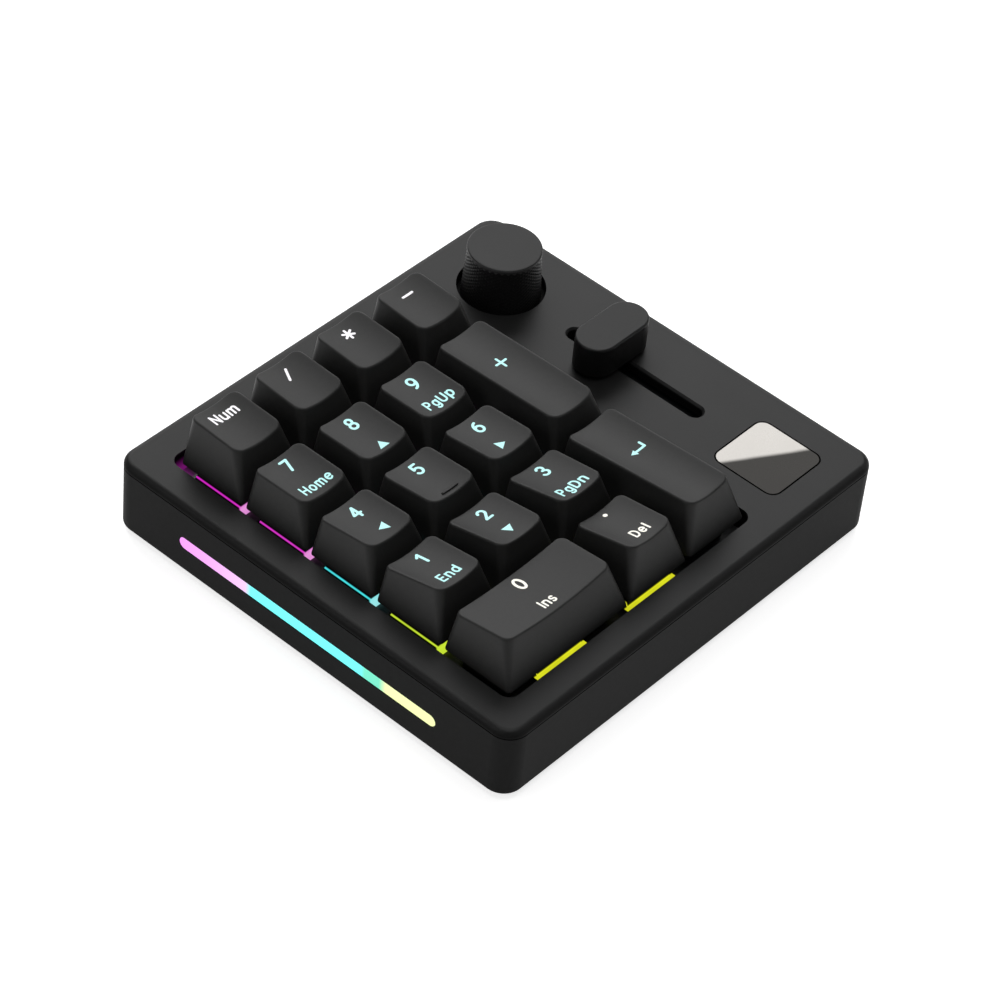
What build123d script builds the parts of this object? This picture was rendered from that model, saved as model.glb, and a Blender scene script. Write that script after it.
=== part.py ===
"""Macro keypad: a number pad with a push knob, a slide control and a bare mirror tile.

Millimetres, +Z up, front towards -Y. The origin is on the desk under the middle of the case.
"""
from build123d import *
import os
from math import sqrt

os.makedirs("parts", exist_ok=True)

# ---------------------------------------------------------------- case
field_left = 8.9            # case side to the first key cell
field_front = 8.55          # case front to the first key cell
field_rear = 10.3           # last key cell to the rear of the case
column_width = 35.2         # control column, from the last key cell to the right side
case_height = 18.6          # underside of the floor to the deck
corner_radius = 4.9
wall = 3.0
floor_thickness = 2.0
deck_thickness = 2.5
foot_stand = 1.3            # what the rubber feet hold the floor above the desk
edge_round = 1.6            # round on the rim of the deck
base_round = 1.0            # round along the bottom of the walls
rim_height = 1.75           # edge of the top frame that shows above the parting groove
groove_height = 0.3
groove_depth = 0.6
shell_gap = 0.15            # between the top frame's inner step and the walls
fit_gap = 0.1               # loose fit of trim in its seat

# ---------------------------------------------------------------- keys
key_pitch = 19.05
window_gap = 1.0            # window edge outside the key cells
window_rear_gap = 1.8
window_corner = 2.8
window_lip = 1.0            # wall round the window that reaches down to the plate
skirt_size = 18.3           # keycap across its lower edge
skirt_lift = -0.15          # lower edge of a keycap above the deck: it stands just inside the window
skirt_corner = 1.1
crown_width = 13.55         # single key's crown from side to side
crown_corner = 2.3
cap_wall = 1.3
cap_ceiling = 5.9           # roof of the hollow above the deck
dish_radius = 22.6
wide_dish_radius = 124.0    # the wide key's dish is shallow
boss_radius = 2.75
boss_lift = 0.9             # lower end of the socket above the deck
cross_length = 4.0
cross_wide = 1.3
cross_thin = 1.1
cross_height = 3.6
cross_fit = 0.03
key_travel = 4.0
crown_round = 0.4
blank_spare = 1.0           # blank above the crown, before the dish is cut
home_bar_length = 4.9
home_bar_width = 0.7
home_bar_height = 0.35
home_bar_root = 0.3
home_bar_inset = 1.2
# crown of each row, row 1 in front: height above the deck at its front and rear edge, and how
# far inside the skirt these edges lie; below zero, the crown reaches past the skirt
row_1_front = 11.45
row_1_rear = 8.25
row_1_front_inset = 3.55
row_1_rear_inset = 0.0
row_2_front = 11.45
row_2_rear = 8.2
row_2_front_inset = 3.65
row_2_rear_inset = -0.2
row_3_front = 10.35
row_3_rear = 8.8
row_3_front_inset = 3.8
row_3_rear_inset = 0.0
row_4_front = 9.5
row_4_rear = 9.25
row_4_front_inset = 4.0
row_4_rear_inset = -0.15
row_5_front = 10.95
row_5_rear = 11.55
row_5_front_inset = 4.1
row_5_rear_inset = -0.2
wide_front = 10.7           # the wide key has a crown of its own
wide_rear = 8.9
wide_front_inset = 3.9
wide_rear_inset = 0.3

# ---------------------------------------------------------------- plate, board, switches
plate_drop = 5.8            # top of the switch plate under the deck
plate_thickness = 1.5
board_drop = 5.0            # top of the circuit board under the top of the plate
board_thickness = 1.6
board_edge_gap = 1.8        # circuit board to the inside of the walls
rear_board_gap = 0.5
housing_size = 13.8
flange_lap = 0.8            # upper housing over the edge of its cut-out
housing_flange_height = 1.0
housing_height = 6.6        # upper housing above the plate
housing_crown = 10.2
shaft_long = 7.8            # opening that the stem slides in
shaft_short = 6.3
stem_gap = 0.3
stem_drop = 6.0             # sliding block under the cross
housing_floor = 1.0
housing_wall = 1.0
post_radius = 1.95          # locating post through the board
post_length = 3.2
pole_radius = 0.95
pole_length = 2.8
bore_gap = 0.3
stab_reach = 11.9           # stabiliser on either side of a long key's middle
stab_width = 7.0
stab_length = 12.3
stab_height = 2.4           # guide above the plate
stab_long = 5.0
stab_short = 4.0
socket_size = 5.0           # hot-swap sockets under the board
socket_height = 1.8
socket_offset = 5.6

# ---------------------------------------------------------------- control column
column_inset = 17.7         # right side to the middle of the knob, the slot and the tile
knob_inset = 18.95          # rear to the middle of the knob
knob_crown_radius = 8.55
knob_skirt_radius = 9.4
knob_height = 11.4          # above the deck
knob_sink = 2.2             # below the deck
knob_edge = 0.35
knob_band = 0.6             # smooth band above the knurl
knurl_depth = 0.25
knob_hollow_radius = 7.6
knob_roof = 4.2
knob_boss_radius = 4.9
knob_boss_lift = 1.3
knob_travel = 0.5
well_gap = 0.85             # round the knob
well_wall = 1.4
well_depth = 3.0
well_floor = 1.5
shaft_radius = 3.0
shaft_run = 0.05            # running clearance of the shaft
shaft_rise = 8.2            # shaft above the deck
flat_depth = 1.5
bush_radius = 3.5
bush_rise = 0.5             # bush above the deck
nut_flats = 10.0
nut_height = 2.0
encoder_width = 12.0
encoder_depth = 12.5
encoder_plate = 0.8
encoder_floor = 0.8
encoder_bore = 5.0
rotor_radius = 4.6
rotor_height = 2.2
plunger_radius = 2.0
plunger_height = 1.5

slot_shift = 1.75           # middle of the slot in front of the middle of the case
slot_length = 38.5
slot_width = 3.6
slot_chamfer = 0.5
slider_rest = 7.6           # slider from the middle of its slot
slider_travel = 15.0        # each way from the middle
slider_length = 20.0        # across the pad
slider_width = 10.0
slider_height = 8.7
slider_lift = 0.9
slider_edge = 0.5
slider_wall = 1.6
slider_roof = 2.2
lever_long = 4.0
lever_thin = 1.2
lever_bite = 5.0            # lever inside the slider cap
pot_length = 45.0
pot_width = 9.0
pot_height = 7.0
pot_wall = 0.8
carriage_long = 7.0
carriage_height = 2.4

tile_inset = 17.1           # front to the middle of the tile
tile_size = 17.35
tile_gap = 0.4
tile_corner = 2.35
tile_thickness = 1.0

# ---------------------------------------------------------------- sides and rear
strip_length = 74.3
strip_height = 3.3
strip_drop = 10.5           # middle of the light strip under the deck
strip_sink = 0.15
strip_flange = 1.0
strip_rim = 1.0
port_inset = 22.15          # left side to the middle of the port
port_width = 8.94
port_height = 3.26
port_depth = 7.3
port_sink = 0.6
port_wall = 0.3
port_gap = 0.3
tongue_width = 6.7
tongue_height = 0.7
mode_spacing = 24.0         # port to mode switch
mode_travel = 2.0           # each way
mode_knob_width = 3.4
mode_knob_height = 2.8
mode_knob_depth = 1.1
mode_stem = 1.8
mode_gap = 0.5
mode_pocket_depth = 1.5
mode_pocket_corner = 0.8
mode_knob_corner = 0.4
mode_body_width = 9.0
mode_body_depth = 3.4
mode_body_height = 4.4

# ---------------------------------------------------------------- fasteners, feet, power
screw_middle_inset = 28.65
screw_right_inset = 7.0
screw_left_inset = 5.3
screw_rear_inset = 5.3
screw_radius = 0.95
screw_clear = 0.1
screw_head_radius = 1.9
screw_head_height = 1.4
screw_head_sink = 0.2
boss_post_radius = 2.1
case_post_radius = 2.6
post_gap = 0.35
seat_height = 0.1           # joint between post and boss above the board
foot_length = 24.0
foot_width = 8.0
foot_inset_x = 19.35
foot_inset_y = 17.35
foot_seat = 0.7
cell_width = 22.0
cell_length = 52.0
cell_height = 3.6
cell_corner = 1.5

# ---------------------------------------------------------------- levels and places
floor_z = foot_stand
deck_z = floor_z + case_height
rim_z = deck_z - rim_height
groove_z = rim_z - groove_height
ceiling_z = deck_z - deck_thickness
inner_floor_z = floor_z + floor_thickness
plate_z = deck_z - plate_drop
board_z = plate_z - board_drop
board_under_z = board_z - board_thickness
joint_z = board_z + seat_height
skirt_z = deck_z + skirt_lift
socket_z = deck_z + boss_lift

# keys as they lie, the rear row first; a name that is repeated is one long key
LAYOUT = [
    "num divide multiply minus",
    "seven eight nine plus",
    "four five six plus",
    "one two three enter",
    "zero zero point enter",
]
key_rows = len(LAYOUT)
key_columns = len(LAYOUT[0].split())
case_width = field_left + key_columns * key_pitch + column_width
case_depth = field_front + key_rows * key_pitch + field_rear
left_x = -case_width / 2
front_y = -case_depth / 2
rear_y = case_depth / 2
column_x = case_width / 2 - column_inset
knob_y = rear_y - knob_inset
slot_y = -slot_shift
tile_y = front_y + tile_inset
port_x = left_x + port_inset
mode_x = port_x + mode_spacing
field_x = left_x + field_left
field_y = front_y + field_front
field_width = key_columns * key_pitch
field_depth = key_rows * key_pitch
field_middle = (field_x + field_width / 2, field_y + field_depth / 2)
window_width = field_width + 2 * window_gap
window_depth = field_depth + window_gap + window_rear_gap
window_middle = (field_middle[0], field_y - window_gap + window_depth / 2)
inner_width = case_width - 2 * wall
inner_depth = case_depth - 2 * wall
housing_flange = housing_size + 2 * flange_lap
plate_cutout = housing_size + 2 * fit_gap
# front height, front inset, and rear height, rear inset of the rows' crowns
CROWN_FRONTS = [(row_1_front, row_1_front_inset), (row_2_front, row_2_front_inset),
                (row_3_front, row_3_front_inset), (row_4_front, row_4_front_inset),
                (row_5_front, row_5_front_inset)]
CROWN_REARS = [(row_1_rear, row_1_rear_inset), (row_2_rear, row_2_rear_inset),
               (row_3_rear, row_3_rear_inset), (row_4_rear, row_4_rear_inset),
               (row_5_rear, row_5_rear_inset)]

HOME_KEY = "five"
KEYS = list(dict.fromkeys(" ".join(LAYOUT).split()))
LONG_KEYS = [name for name in KEYS if " ".join(LAYOUT).split().count(name) > 1]


def key_cells(name):
    """Left column, front row, width and depth of a key, in key units."""
    found = [
        (column, row)
        for row, line in enumerate(reversed(LAYOUT))
        for column, key in enumerate(line.split())
        if key == name
    ]
    columns, rows = zip(*found)
    return min(columns), min(rows), max(columns) - min(columns) + 1, max(rows) - min(rows) + 1


def key_middle(name):
    """Middle of a key."""
    column, row, width, depth = key_cells(name)
    return (field_x + (column + width / 2) * key_pitch, field_y + (row + depth / 2) * key_pitch)


def lies_across(name):
    """Whether a long key lies across the pad, and not along it."""
    column, row, width, depth = key_cells(name)
    return width > depth


def crown_edges(name):
    """Height and inset of the front edge of a key's crown, and those of its rear edge."""
    column, row, width, depth = key_cells(name)
    if lies_across(name):
        return (wide_front, wide_front_inset), (wide_rear, wide_rear_inset)
    return CROWN_FRONTS[row], CROWN_REARS[row + depth - 1]


def stab_places(name):
    """Places of the two stabilisers of a long key, none for a single one."""
    x, y = key_middle(name)
    if name not in LONG_KEYS:
        return []
    if lies_across(name):
        return [(x - stab_reach, y), (x + stab_reach, y)]
    return [(x, y - stab_reach), (x, y + stab_reach)]


SWITCHES = [key_middle(name) for name in KEYS]
ACROSS = [place for name in LONG_KEYS if lies_across(name) for place in stab_places(name)]
ALONG = [place for name in LONG_KEYS if not lies_across(name) for place in stab_places(name)]
screw_rear_y = case_depth / 2 - screw_rear_inset
screw_right_x = case_width / 2 - screw_right_inset
screw_left_x = left_x + screw_left_inset
screw_middle_x = case_width / 2 - screw_middle_inset
SCREWS = [
    (x, y)
    for x in (screw_left_x, screw_middle_x, screw_right_x)
    for y in (-screw_rear_y, screw_rear_y)
]
# corners between single keys, where the floor carries the board
RESTS = [
    (field_x + column * key_pitch, field_y + row * key_pitch)
    for column in range(1, key_columns)
    for row in (key_rows // 2, key_rows - 1)
]


# ================================================================ top frame
well_radius = knob_skirt_radius + well_gap
with BuildPart() as top_frame:
    with BuildSketch(Plane.XY.offset(rim_z)):
        RectangleRounded(case_width, case_depth, corner_radius)
    extrude(amount=rim_height)
    fillet(top_frame.faces().sort_by(Axis.Z)[-1].edges(), radius=edge_round)
    # inner step that drops between the walls
    with BuildSketch(Plane.XY.offset(ceiling_z)):
        RectangleRounded(inner_width - 2 * shell_gap, inner_depth - 2 * shell_gap,
                         corner_radius - wall + 2 * shell_gap)
    extrude(amount=rim_z - ceiling_z)
    # lip round the key window, and the well that the knob turns in
    with BuildSketch(Plane.XY.offset(plate_z)):
        with Locations(window_middle):
            RectangleRounded(window_width + 2 * window_lip, window_depth + 2 * window_lip,
                             window_corner + window_lip)
    extrude(amount=ceiling_z - plate_z)
    with BuildSketch(Plane.XY.offset(deck_z - well_depth - well_floor)):
        with Locations((column_x, knob_y)):
            Circle(well_radius + well_wall)
    extrude(amount=ceiling_z - (deck_z - well_depth - well_floor))
    with BuildSketch(Plane.XY.offset(joint_z)):
        with Locations(SCREWS):
            Circle(boss_post_radius)
    extrude(amount=ceiling_z - joint_z)
    with BuildSketch(Plane.XY.offset(plate_z)):
        with Locations(window_middle):
            RectangleRounded(window_width, window_depth, window_corner)
    extrude(amount=plate_drop, mode=Mode.SUBTRACT)
    with BuildSketch(Plane.XY.offset(deck_z)):
        with Locations((column_x, knob_y)):
            Circle(well_radius)
    extrude(amount=-well_depth, mode=Mode.SUBTRACT)
    with BuildSketch(Plane.XY.offset(deck_z)):
        with Locations((column_x, knob_y)):
            Circle(bush_radius + bore_gap)
    extrude(amount=-(well_depth + well_floor), mode=Mode.SUBTRACT)
    # slider slot with its broken edge
    with BuildSketch(Plane.XY.offset(deck_z)):
        with Locations(Location((column_x, slot_y), 90)):
            SlotOverall(slot_length, slot_width)
    extrude(amount=-deck_thickness, mode=Mode.SUBTRACT)
    slot_rim = top_frame.edges().filter_by(
        lambda e: abs(e.center().Z - deck_z) < 0.01
        and abs(e.center().X - column_x) <= slot_width / 2 + 0.01
        and abs(e.center().Y - slot_y) <= slot_length / 2 + 0.01
    )
    chamfer(slot_rim, length=slot_chamfer)
    # seat of the mirror tile
    with BuildSketch(Plane.XY.offset(deck_z)):
        with Locations((column_x, tile_y)):
            RectangleRounded(tile_size + 2 * tile_gap, tile_size + 2 * tile_gap, tile_corner + tile_gap)
    extrude(amount=-tile_thickness, mode=Mode.SUBTRACT)
    # screw bores from below
    with BuildSketch(Plane.XY.offset(joint_z)):
        with Locations(SCREWS):
            Circle(screw_radius + screw_clear)
    extrude(amount=ceiling_z - joint_z, mode=Mode.SUBTRACT)
top_frame.part.label = "top_frame"
export_step(top_frame.part, "parts/top_frame.step")


# ================================================================ bottom case
strip_z = deck_z - strip_drop
port_z = board_z + port_height / 2
mode_z = board_z + mode_body_height / 2
pocket_width = mode_knob_width + 2 * mode_travel + 2 * mode_gap
pocket_height = mode_knob_height + 2 * mode_gap
with BuildPart() as bottom_case:
    with BuildSketch(Plane.XY.offset(floor_z)):
        RectangleRounded(case_width, case_depth, corner_radius)
    extrude(amount=rim_z - floor_z)
    fillet(bottom_case.faces().sort_by(Axis.Z)[0].edges(), radius=base_round)
    with BuildSketch(Plane.XY.offset(inner_floor_z)):
        RectangleRounded(inner_width, inner_depth, corner_radius - wall)
    extrude(amount=rim_z - inner_floor_z, mode=Mode.SUBTRACT)
    # parting groove: the outer edge of the wall stands lower than the rest
    with BuildSketch(Plane.XY.offset(groove_z)):
        RectangleRounded(case_width, case_depth, corner_radius)
        RectangleRounded(case_width - 2 * groove_depth, case_depth - 2 * groove_depth,
                         corner_radius - groove_depth, mode=Mode.SUBTRACT)
    extrude(amount=groove_height, mode=Mode.SUBTRACT)
    # screw posts, and rests for the board where four keys meet
    with BuildSketch(Plane.XY.offset(inner_floor_z)):
        with Locations(SCREWS):
            Circle(case_post_radius)
    extrude(amount=joint_z - inner_floor_z)
    with BuildSketch(Plane.XY.offset(inner_floor_z)):
        with Locations(RESTS):
            Circle(case_post_radius)
    extrude(amount=board_under_z - inner_floor_z)
    # windows for the light strips in both side walls
    with BuildSketch(Plane.YZ.offset(left_x)):
        with Locations((0, strip_z)):
            SlotOverall(strip_length, strip_height)
    extrude(amount=case_width, mode=Mode.SUBTRACT)
    # rear wall: port opening, and the pocket and slot of the mode switch
    with BuildSketch(Plane.XZ.offset(-case_depth / 2)):
        with Locations((port_x, port_z)):
            SlotOverall(port_width + 2 * port_gap, port_height + 2 * port_gap)
    extrude(amount=wall, mode=Mode.SUBTRACT)
    with BuildSketch(Plane.XZ.offset(-case_depth / 2)):
        with Locations((mode_x, mode_z)):
            RectangleRounded(pocket_width, pocket_height, mode_pocket_corner)
    extrude(amount=mode_pocket_depth, mode=Mode.SUBTRACT)
    with BuildSketch(Plane.XZ.offset(-case_depth / 2)):
        with Locations((mode_x, mode_z)):
            Rectangle(mode_stem + 2 * mode_travel + 2 * mode_gap, mode_stem + 2 * bore_gap)
    extrude(amount=wall, mode=Mode.SUBTRACT)
    # screw holes with sunk heads, and seats of the feet
    with BuildSketch(Plane.XY.offset(floor_z)):
        with Locations(SCREWS):
            Circle(screw_radius + screw_clear)
    extrude(amount=joint_z - floor_z, mode=Mode.SUBTRACT)
    with BuildSketch(Plane.XY.offset(floor_z)):
        with Locations(SCREWS):
            Circle(screw_head_radius + fit_gap)
    extrude(amount=screw_head_height + screw_head_sink, mode=Mode.SUBTRACT)
    with BuildSketch(Plane.XY.offset(floor_z)):
        with GridLocations(case_width - 2 * foot_inset_x, case_depth - 2 * foot_inset_y, 2, 2):
            SlotOverall(foot_length + 2 * fit_gap, foot_width + 2 * fit_gap)
    extrude(amount=foot_seat, mode=Mode.SUBTRACT)
bottom_case.part.label = "bottom_case"
export_step(bottom_case.part, "parts/bottom_case.step")

with BuildPart() as foot_pads:
    with BuildSketch():
        with GridLocations(case_width - 2 * foot_inset_x, case_depth - 2 * foot_inset_y, 2, 2):
            SlotOverall(foot_length, foot_width)
    extrude(amount=foot_stand + foot_seat)
foot_pads.part.label = "foot_pads"
export_step(foot_pads.part, "parts/foot_pads.step")

screw_head_z = floor_z + screw_head_sink
with BuildPart() as case_screws:
    with BuildSketch(Plane.XY.offset(screw_head_z)):
        with Locations(SCREWS):
            Circle(screw_head_radius)
    extrude(amount=screw_head_height)
    with BuildSketch(Plane.XY.offset(screw_head_z)):
        with Locations(SCREWS):
            Circle(screw_radius)
    extrude(amount=ceiling_z - shell_gap - screw_head_z)
    with BuildSketch(Plane.XY.offset(screw_head_z)):
        with Locations(SCREWS):
            RegularPolygon(screw_radius, 6)
    extrude(amount=screw_head_height / 2, mode=Mode.SUBTRACT)
case_screws.part.label = "case_screws"
export_step(case_screws.part, "parts/case_screws.step")

# ================================================================ light strips
with BuildPart() as light_strips:
    with BuildSketch(Plane.YZ.offset(left_x + strip_sink)):
        with Locations((0, strip_z)):
            SlotOverall(strip_length - 2 * fit_gap, strip_height - 2 * fit_gap)
    extrude(amount=wall - strip_sink)
    with BuildSketch(Plane.YZ.offset(left_x + wall)):
        with Locations((0, strip_z)):
            SlotOverall(strip_length + 2 * strip_rim, strip_height + 2 * strip_rim)
    extrude(amount=strip_flange)
    mirror(about=Plane.YZ)
light_strips.part.label = "light_strips"
export_step(light_strips.part, "parts/light_strips.step")

# ================================================================ switch plate, foam, board
plate_width = window_width + 2 * window_lip
plate_depth = window_depth + 2 * window_lip
with BuildPart() as switch_plate:
    with BuildSketch(Plane.XY.offset(plate_z - plate_thickness)):
        with Locations(window_middle):
            Rectangle(plate_width, plate_depth)
        with Locations(SWITCHES):
            Rectangle(plate_cutout, plate_cutout, mode=Mode.SUBTRACT)
        with Locations(ACROSS):
            Rectangle(stab_width + 2 * fit_gap, stab_length + 2 * fit_gap, mode=Mode.SUBTRACT)
        with Locations(ALONG):
            Rectangle(stab_length + 2 * fit_gap, stab_width + 2 * fit_gap, mode=Mode.SUBTRACT)
        with Locations(SCREWS):
            Circle(boss_post_radius + post_gap, mode=Mode.SUBTRACT)
    extrude(amount=plate_thickness)
switch_plate.part.label = "switch_plate"
export_step(switch_plate.part, "parts/switch_plate.step")

with BuildPart() as plate_foam:
    with BuildSketch(Plane.XY.offset(board_z)):
        with Locations(field_middle):
            Rectangle(plate_width, field_depth + 2 * window_gap)
        with Locations(SWITCHES):
            Rectangle(plate_cutout + 2 * stem_gap, plate_cutout + 2 * stem_gap, mode=Mode.SUBTRACT)
        with Locations(ACROSS):
            Rectangle(stab_width + 2 * stem_gap, stab_length + 2 * stem_gap, mode=Mode.SUBTRACT)
        with Locations(ALONG):
            Rectangle(stab_length + 2 * stem_gap, stab_width + 2 * stem_gap, mode=Mode.SUBTRACT)
        with Locations(SCREWS):
            Circle(case_post_radius + post_gap, mode=Mode.SUBTRACT)
    extrude(amount=board_drop - plate_thickness)
plate_foam.part.label = "plate_foam"
export_step(plate_foam.part, "parts/plate_foam.step")

board_width = inner_width - 2 * board_edge_gap
board_depth = inner_depth - 2 * rear_board_gap
with BuildPart() as circuit_board:
    with BuildSketch(Plane.XY.offset(board_under_z)):
        Rectangle(board_width, board_depth)
        with Locations(SWITCHES):
            Circle(post_radius + fit_gap, mode=Mode.SUBTRACT)
        with Locations(SCREWS):
            Circle(case_post_radius + post_gap, mode=Mode.SUBTRACT)
    extrude(amount=board_thickness)
circuit_board.part.label = "circuit_board"
export_step(circuit_board.part, "parts/circuit_board.step")

with BuildPart() as switch_sockets:
    with BuildSketch(Plane.XY.offset(board_under_z)):
        with Locations([(x, y + socket_offset) for x, y in SWITCHES]):
            Rectangle(2 * socket_size, socket_size)
    extrude(amount=-socket_height)
switch_sockets.part.label = "switch_sockets"
export_step(switch_sockets.part, "parts/switch_sockets.step")

with BuildPart() as battery:
    with BuildSketch(Plane.XY.offset(inner_floor_z)):
        with Locations((column_x, 0)):
            RectangleRounded(cell_width, cell_length, cell_corner)
    extrude(amount=cell_height)
battery.part.label = "battery"
export_step(battery.part, "parts/battery.step")

# ================================================================ switch housings
with BuildPart() as lower_housings:
    with BuildSketch(Plane.XY.offset(board_z)):
        with Locations(SWITCHES):
            Rectangle(housing_size, housing_size)
    extrude(amount=board_drop)
    with BuildSketch(Plane.XY.offset(board_z + housing_floor)):
        with Locations(SWITCHES):
            Rectangle(housing_size - 2 * housing_wall, housing_size - 2 * housing_wall)
    extrude(amount=board_drop - housing_floor, mode=Mode.SUBTRACT)
    with BuildSketch(Plane.XY.offset(board_z)):
        with Locations(SWITCHES):
            Circle(post_radius)
    extrude(amount=-post_length)
    with BuildSketch(Plane.XY.offset(board_z + housing_floor)):
        with Locations(SWITCHES):
            Circle(pole_radius + bore_gap)
    extrude(amount=-(housing_floor + post_length - bore_gap), mode=Mode.SUBTRACT)
lower_housings.part.label = "lower_housings"
export_step(lower_housings.part, "parts/lower_housings.step")

with BuildPart() as upper_housings:
    with BuildSketch(Plane.XY.offset(plate_z)):
        with Locations(SWITCHES):
            Rectangle(housing_flange, housing_flange)
    extrude(amount=housing_flange_height)
    for x, y in SWITCHES:
        with BuildSketch(Plane((x, y, plate_z + housing_flange_height))):
            Rectangle(housing_size, housing_size)
        with BuildSketch(Plane((x, y, plate_z + housing_height))):
            Rectangle(housing_crown, housing_crown)
        loft()
    with BuildSketch(Plane.XY.offset(plate_z)):
        with Locations(SWITCHES):
            Rectangle(shaft_long, shaft_short)
    extrude(amount=housing_height, mode=Mode.SUBTRACT)
upper_housings.part.label = "upper_housings"
export_step(upper_housings.part, "parts/upper_housings.step")

with BuildPart() as stabiliser_guides:
    with BuildSketch(Plane.XY.offset(board_z)):
        with Locations(ACROSS):
            Rectangle(stab_width, stab_length)
            Rectangle(stab_long + 2 * stem_gap, stab_short + 2 * stem_gap, mode=Mode.SUBTRACT)
        with Locations(ALONG):
            Rectangle(stab_length, stab_width)
            Rectangle(stab_short + 2 * stem_gap, stab_long + 2 * stem_gap, mode=Mode.SUBTRACT)
    extrude(amount=board_drop + stab_height)
stabiliser_guides.part.label = "stabiliser_guides"
export_step(stabiliser_guides.part, "parts/stabiliser_guides.step")


# ================================================================ keys
def make_stem(name):
    """Sliding stem of one switch: cross, block and pole, with a long key's two stabiliser stems."""
    place = key_middle(name)
    sides = stab_places(name)
    turn = 0 if lies_across(name) else 90
    with BuildPart() as stem:
        with BuildSketch(Plane.XY.offset(socket_z)):
            with Locations([place] + sides):
                Rectangle(cross_length, cross_wide)
                Rectangle(cross_thin, cross_length)
        extrude(amount=cross_height)
        with BuildSketch(Plane.XY.offset(socket_z - stem_drop)):
            with Locations(place):
                Rectangle(shaft_long - 2 * stem_gap, shaft_short - 2 * stem_gap)
        extrude(amount=stem_drop)
        with BuildSketch(Plane.XY.offset(socket_z - stem_drop)):
            with Locations(place):
                Circle(pole_radius)
        extrude(amount=-pole_length)
        for side in sides:
            with BuildSketch(Plane.XY.offset(board_z + key_travel + stem_gap)):
                with Locations(Location(side, turn)):
                    Rectangle(stab_long, stab_short)
            extrude(amount=socket_z - board_z - key_travel - stem_gap)
    return stem.part


def make_cap(name):
    """Hollow keycap: drafted walls, a dished crown that leans, and sockets for the stems."""
    column, row, width, depth = key_cells(name)
    x, y = key_middle(name)
    skirt_width = skirt_size + (width - 1) * key_pitch
    skirt_depth = skirt_size + (depth - 1) * key_pitch
    roundness = wide_dish_radius if lies_across(name) else dish_radius
    (front, front_inset), (rear, rear_inset) = crown_edges(name)
    side_inset = (skirt_size - crown_width) / 2
    # how far each side leans in for each millimetre up
    side_draft = side_inset / ((front + rear) / 2 - skirt_lift)
    front_draft = front_inset / (front - skirt_lift)
    rear_draft = rear_inset / (rear - skirt_lift)
    blank = max(front, rear) + blank_spare - skirt_lift
    front_edge = y - skirt_depth / 2 + front_inset
    rear_edge = y + skirt_depth / 2 - rear_inset
    half_chord = skirt_width / 2 - side_inset
    crown = Plane(
        origin=(x, (front_edge + rear_edge) / 2, deck_z + (front + rear) / 2),
        x_dir=(1, 0, 0),
        z_dir=(0, front - rear, rear_edge - front_edge),
    )
    with BuildPart() as cap:
        with BuildSketch(Plane((x, y, skirt_z))):
            RectangleRounded(skirt_width, skirt_depth, skirt_corner)
        with BuildSketch(Plane((x, y + blank * (front_draft - rear_draft) / 2, skirt_z + blank))):
            RectangleRounded(skirt_width - 2 * blank * side_draft,
                             skirt_depth - blank * (front_draft + rear_draft), crown_corner)
        loft(ruled=True)
        # dish: a cylinder along the key, leaning with the crown
        with Locations(crown.offset(sqrt(roundness ** 2 - half_chord ** 2))):
            Cylinder(roundness, 2 * (skirt_depth + blank), rotation=(90, 0, 0), mode=Mode.SUBTRACT)
        fillet(cap.faces().sort_by(Axis.Z)[-1].edges(), radius=crown_round)
        # hollow
        room = cap_ceiling - skirt_lift
        with BuildSketch(Plane((x, y, skirt_z))):
            Rectangle(skirt_width - 2 * cap_wall, skirt_depth - 2 * cap_wall)
        with BuildSketch(Plane((x, y + room * (front_draft - rear_draft) / 2, skirt_z + room))):
            Rectangle(skirt_width - 2 * cap_wall - 2 * room * side_draft,
                      skirt_depth - 2 * cap_wall - room * (front_draft + rear_draft))
        loft(ruled=True, mode=Mode.SUBTRACT)
        # sockets
        places = [(x, y)] + stab_places(name)
        with BuildSketch(Plane.XY.offset(socket_z)):
            with Locations(places):
                Circle(boss_radius)
        extrude(amount=cap_ceiling - boss_lift)
        with BuildSketch(Plane.XY.offset(socket_z)):
            with Locations(places):
                Rectangle(cross_length + 2 * cross_fit, cross_wide + 2 * cross_fit)
                Rectangle(cross_thin + 2 * cross_fit, cross_length + 2 * cross_fit)
        extrude(amount=cross_height + cross_fit, mode=Mode.SUBTRACT)
        # the middle key's bar, for finding it by touch
        if name == HOME_KEY:
            sagitta = roundness - sqrt(roundness ** 2 - half_chord ** 2)
            bar = crown.offset(-sagitta - home_bar_root)
            with BuildSketch(bar):
                with Locations((0, home_bar_inset - (rear_edge - front_edge) / 2)):
                    SlotOverall(home_bar_length, home_bar_width)
            extrude(amount=home_bar_root + home_bar_height)
    return cap.part


for name in KEYS:
    stem = make_stem(name)
    stem.label = "stem_" + name
    export_step(stem, "parts/stem_" + name + ".step")
    cap = make_cap(name)
    cap.label = "keycap_" + name
    export_step(cap, "parts/keycap_" + name + ".step")

# ================================================================ knob and encoder
well_floor_z = deck_z - well_depth
bush_base_z = well_floor_z - well_floor
encoder_top_z = bush_base_z - encoder_plate
knob_top_z = deck_z + knob_height
knob_base_z = deck_z - knob_sink
knob_roof_z = knob_top_z - knob_roof
with BuildPart() as encoder_body:
    with BuildSketch(Plane.XY.offset(board_z)):
        with Locations((column_x, knob_y)):
            Rectangle(encoder_width, encoder_depth)
    extrude(amount=encoder_top_z - board_z)
    with BuildSketch(Plane.XY.offset(board_z + encoder_floor)):
        with Locations((column_x, knob_y)):
            Circle(encoder_bore)
    extrude(amount=encoder_top_z - board_z - encoder_floor, mode=Mode.SUBTRACT)
encoder_body.part.label = "encoder_body"
export_step(encoder_body.part, "parts/encoder_body.step")

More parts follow.
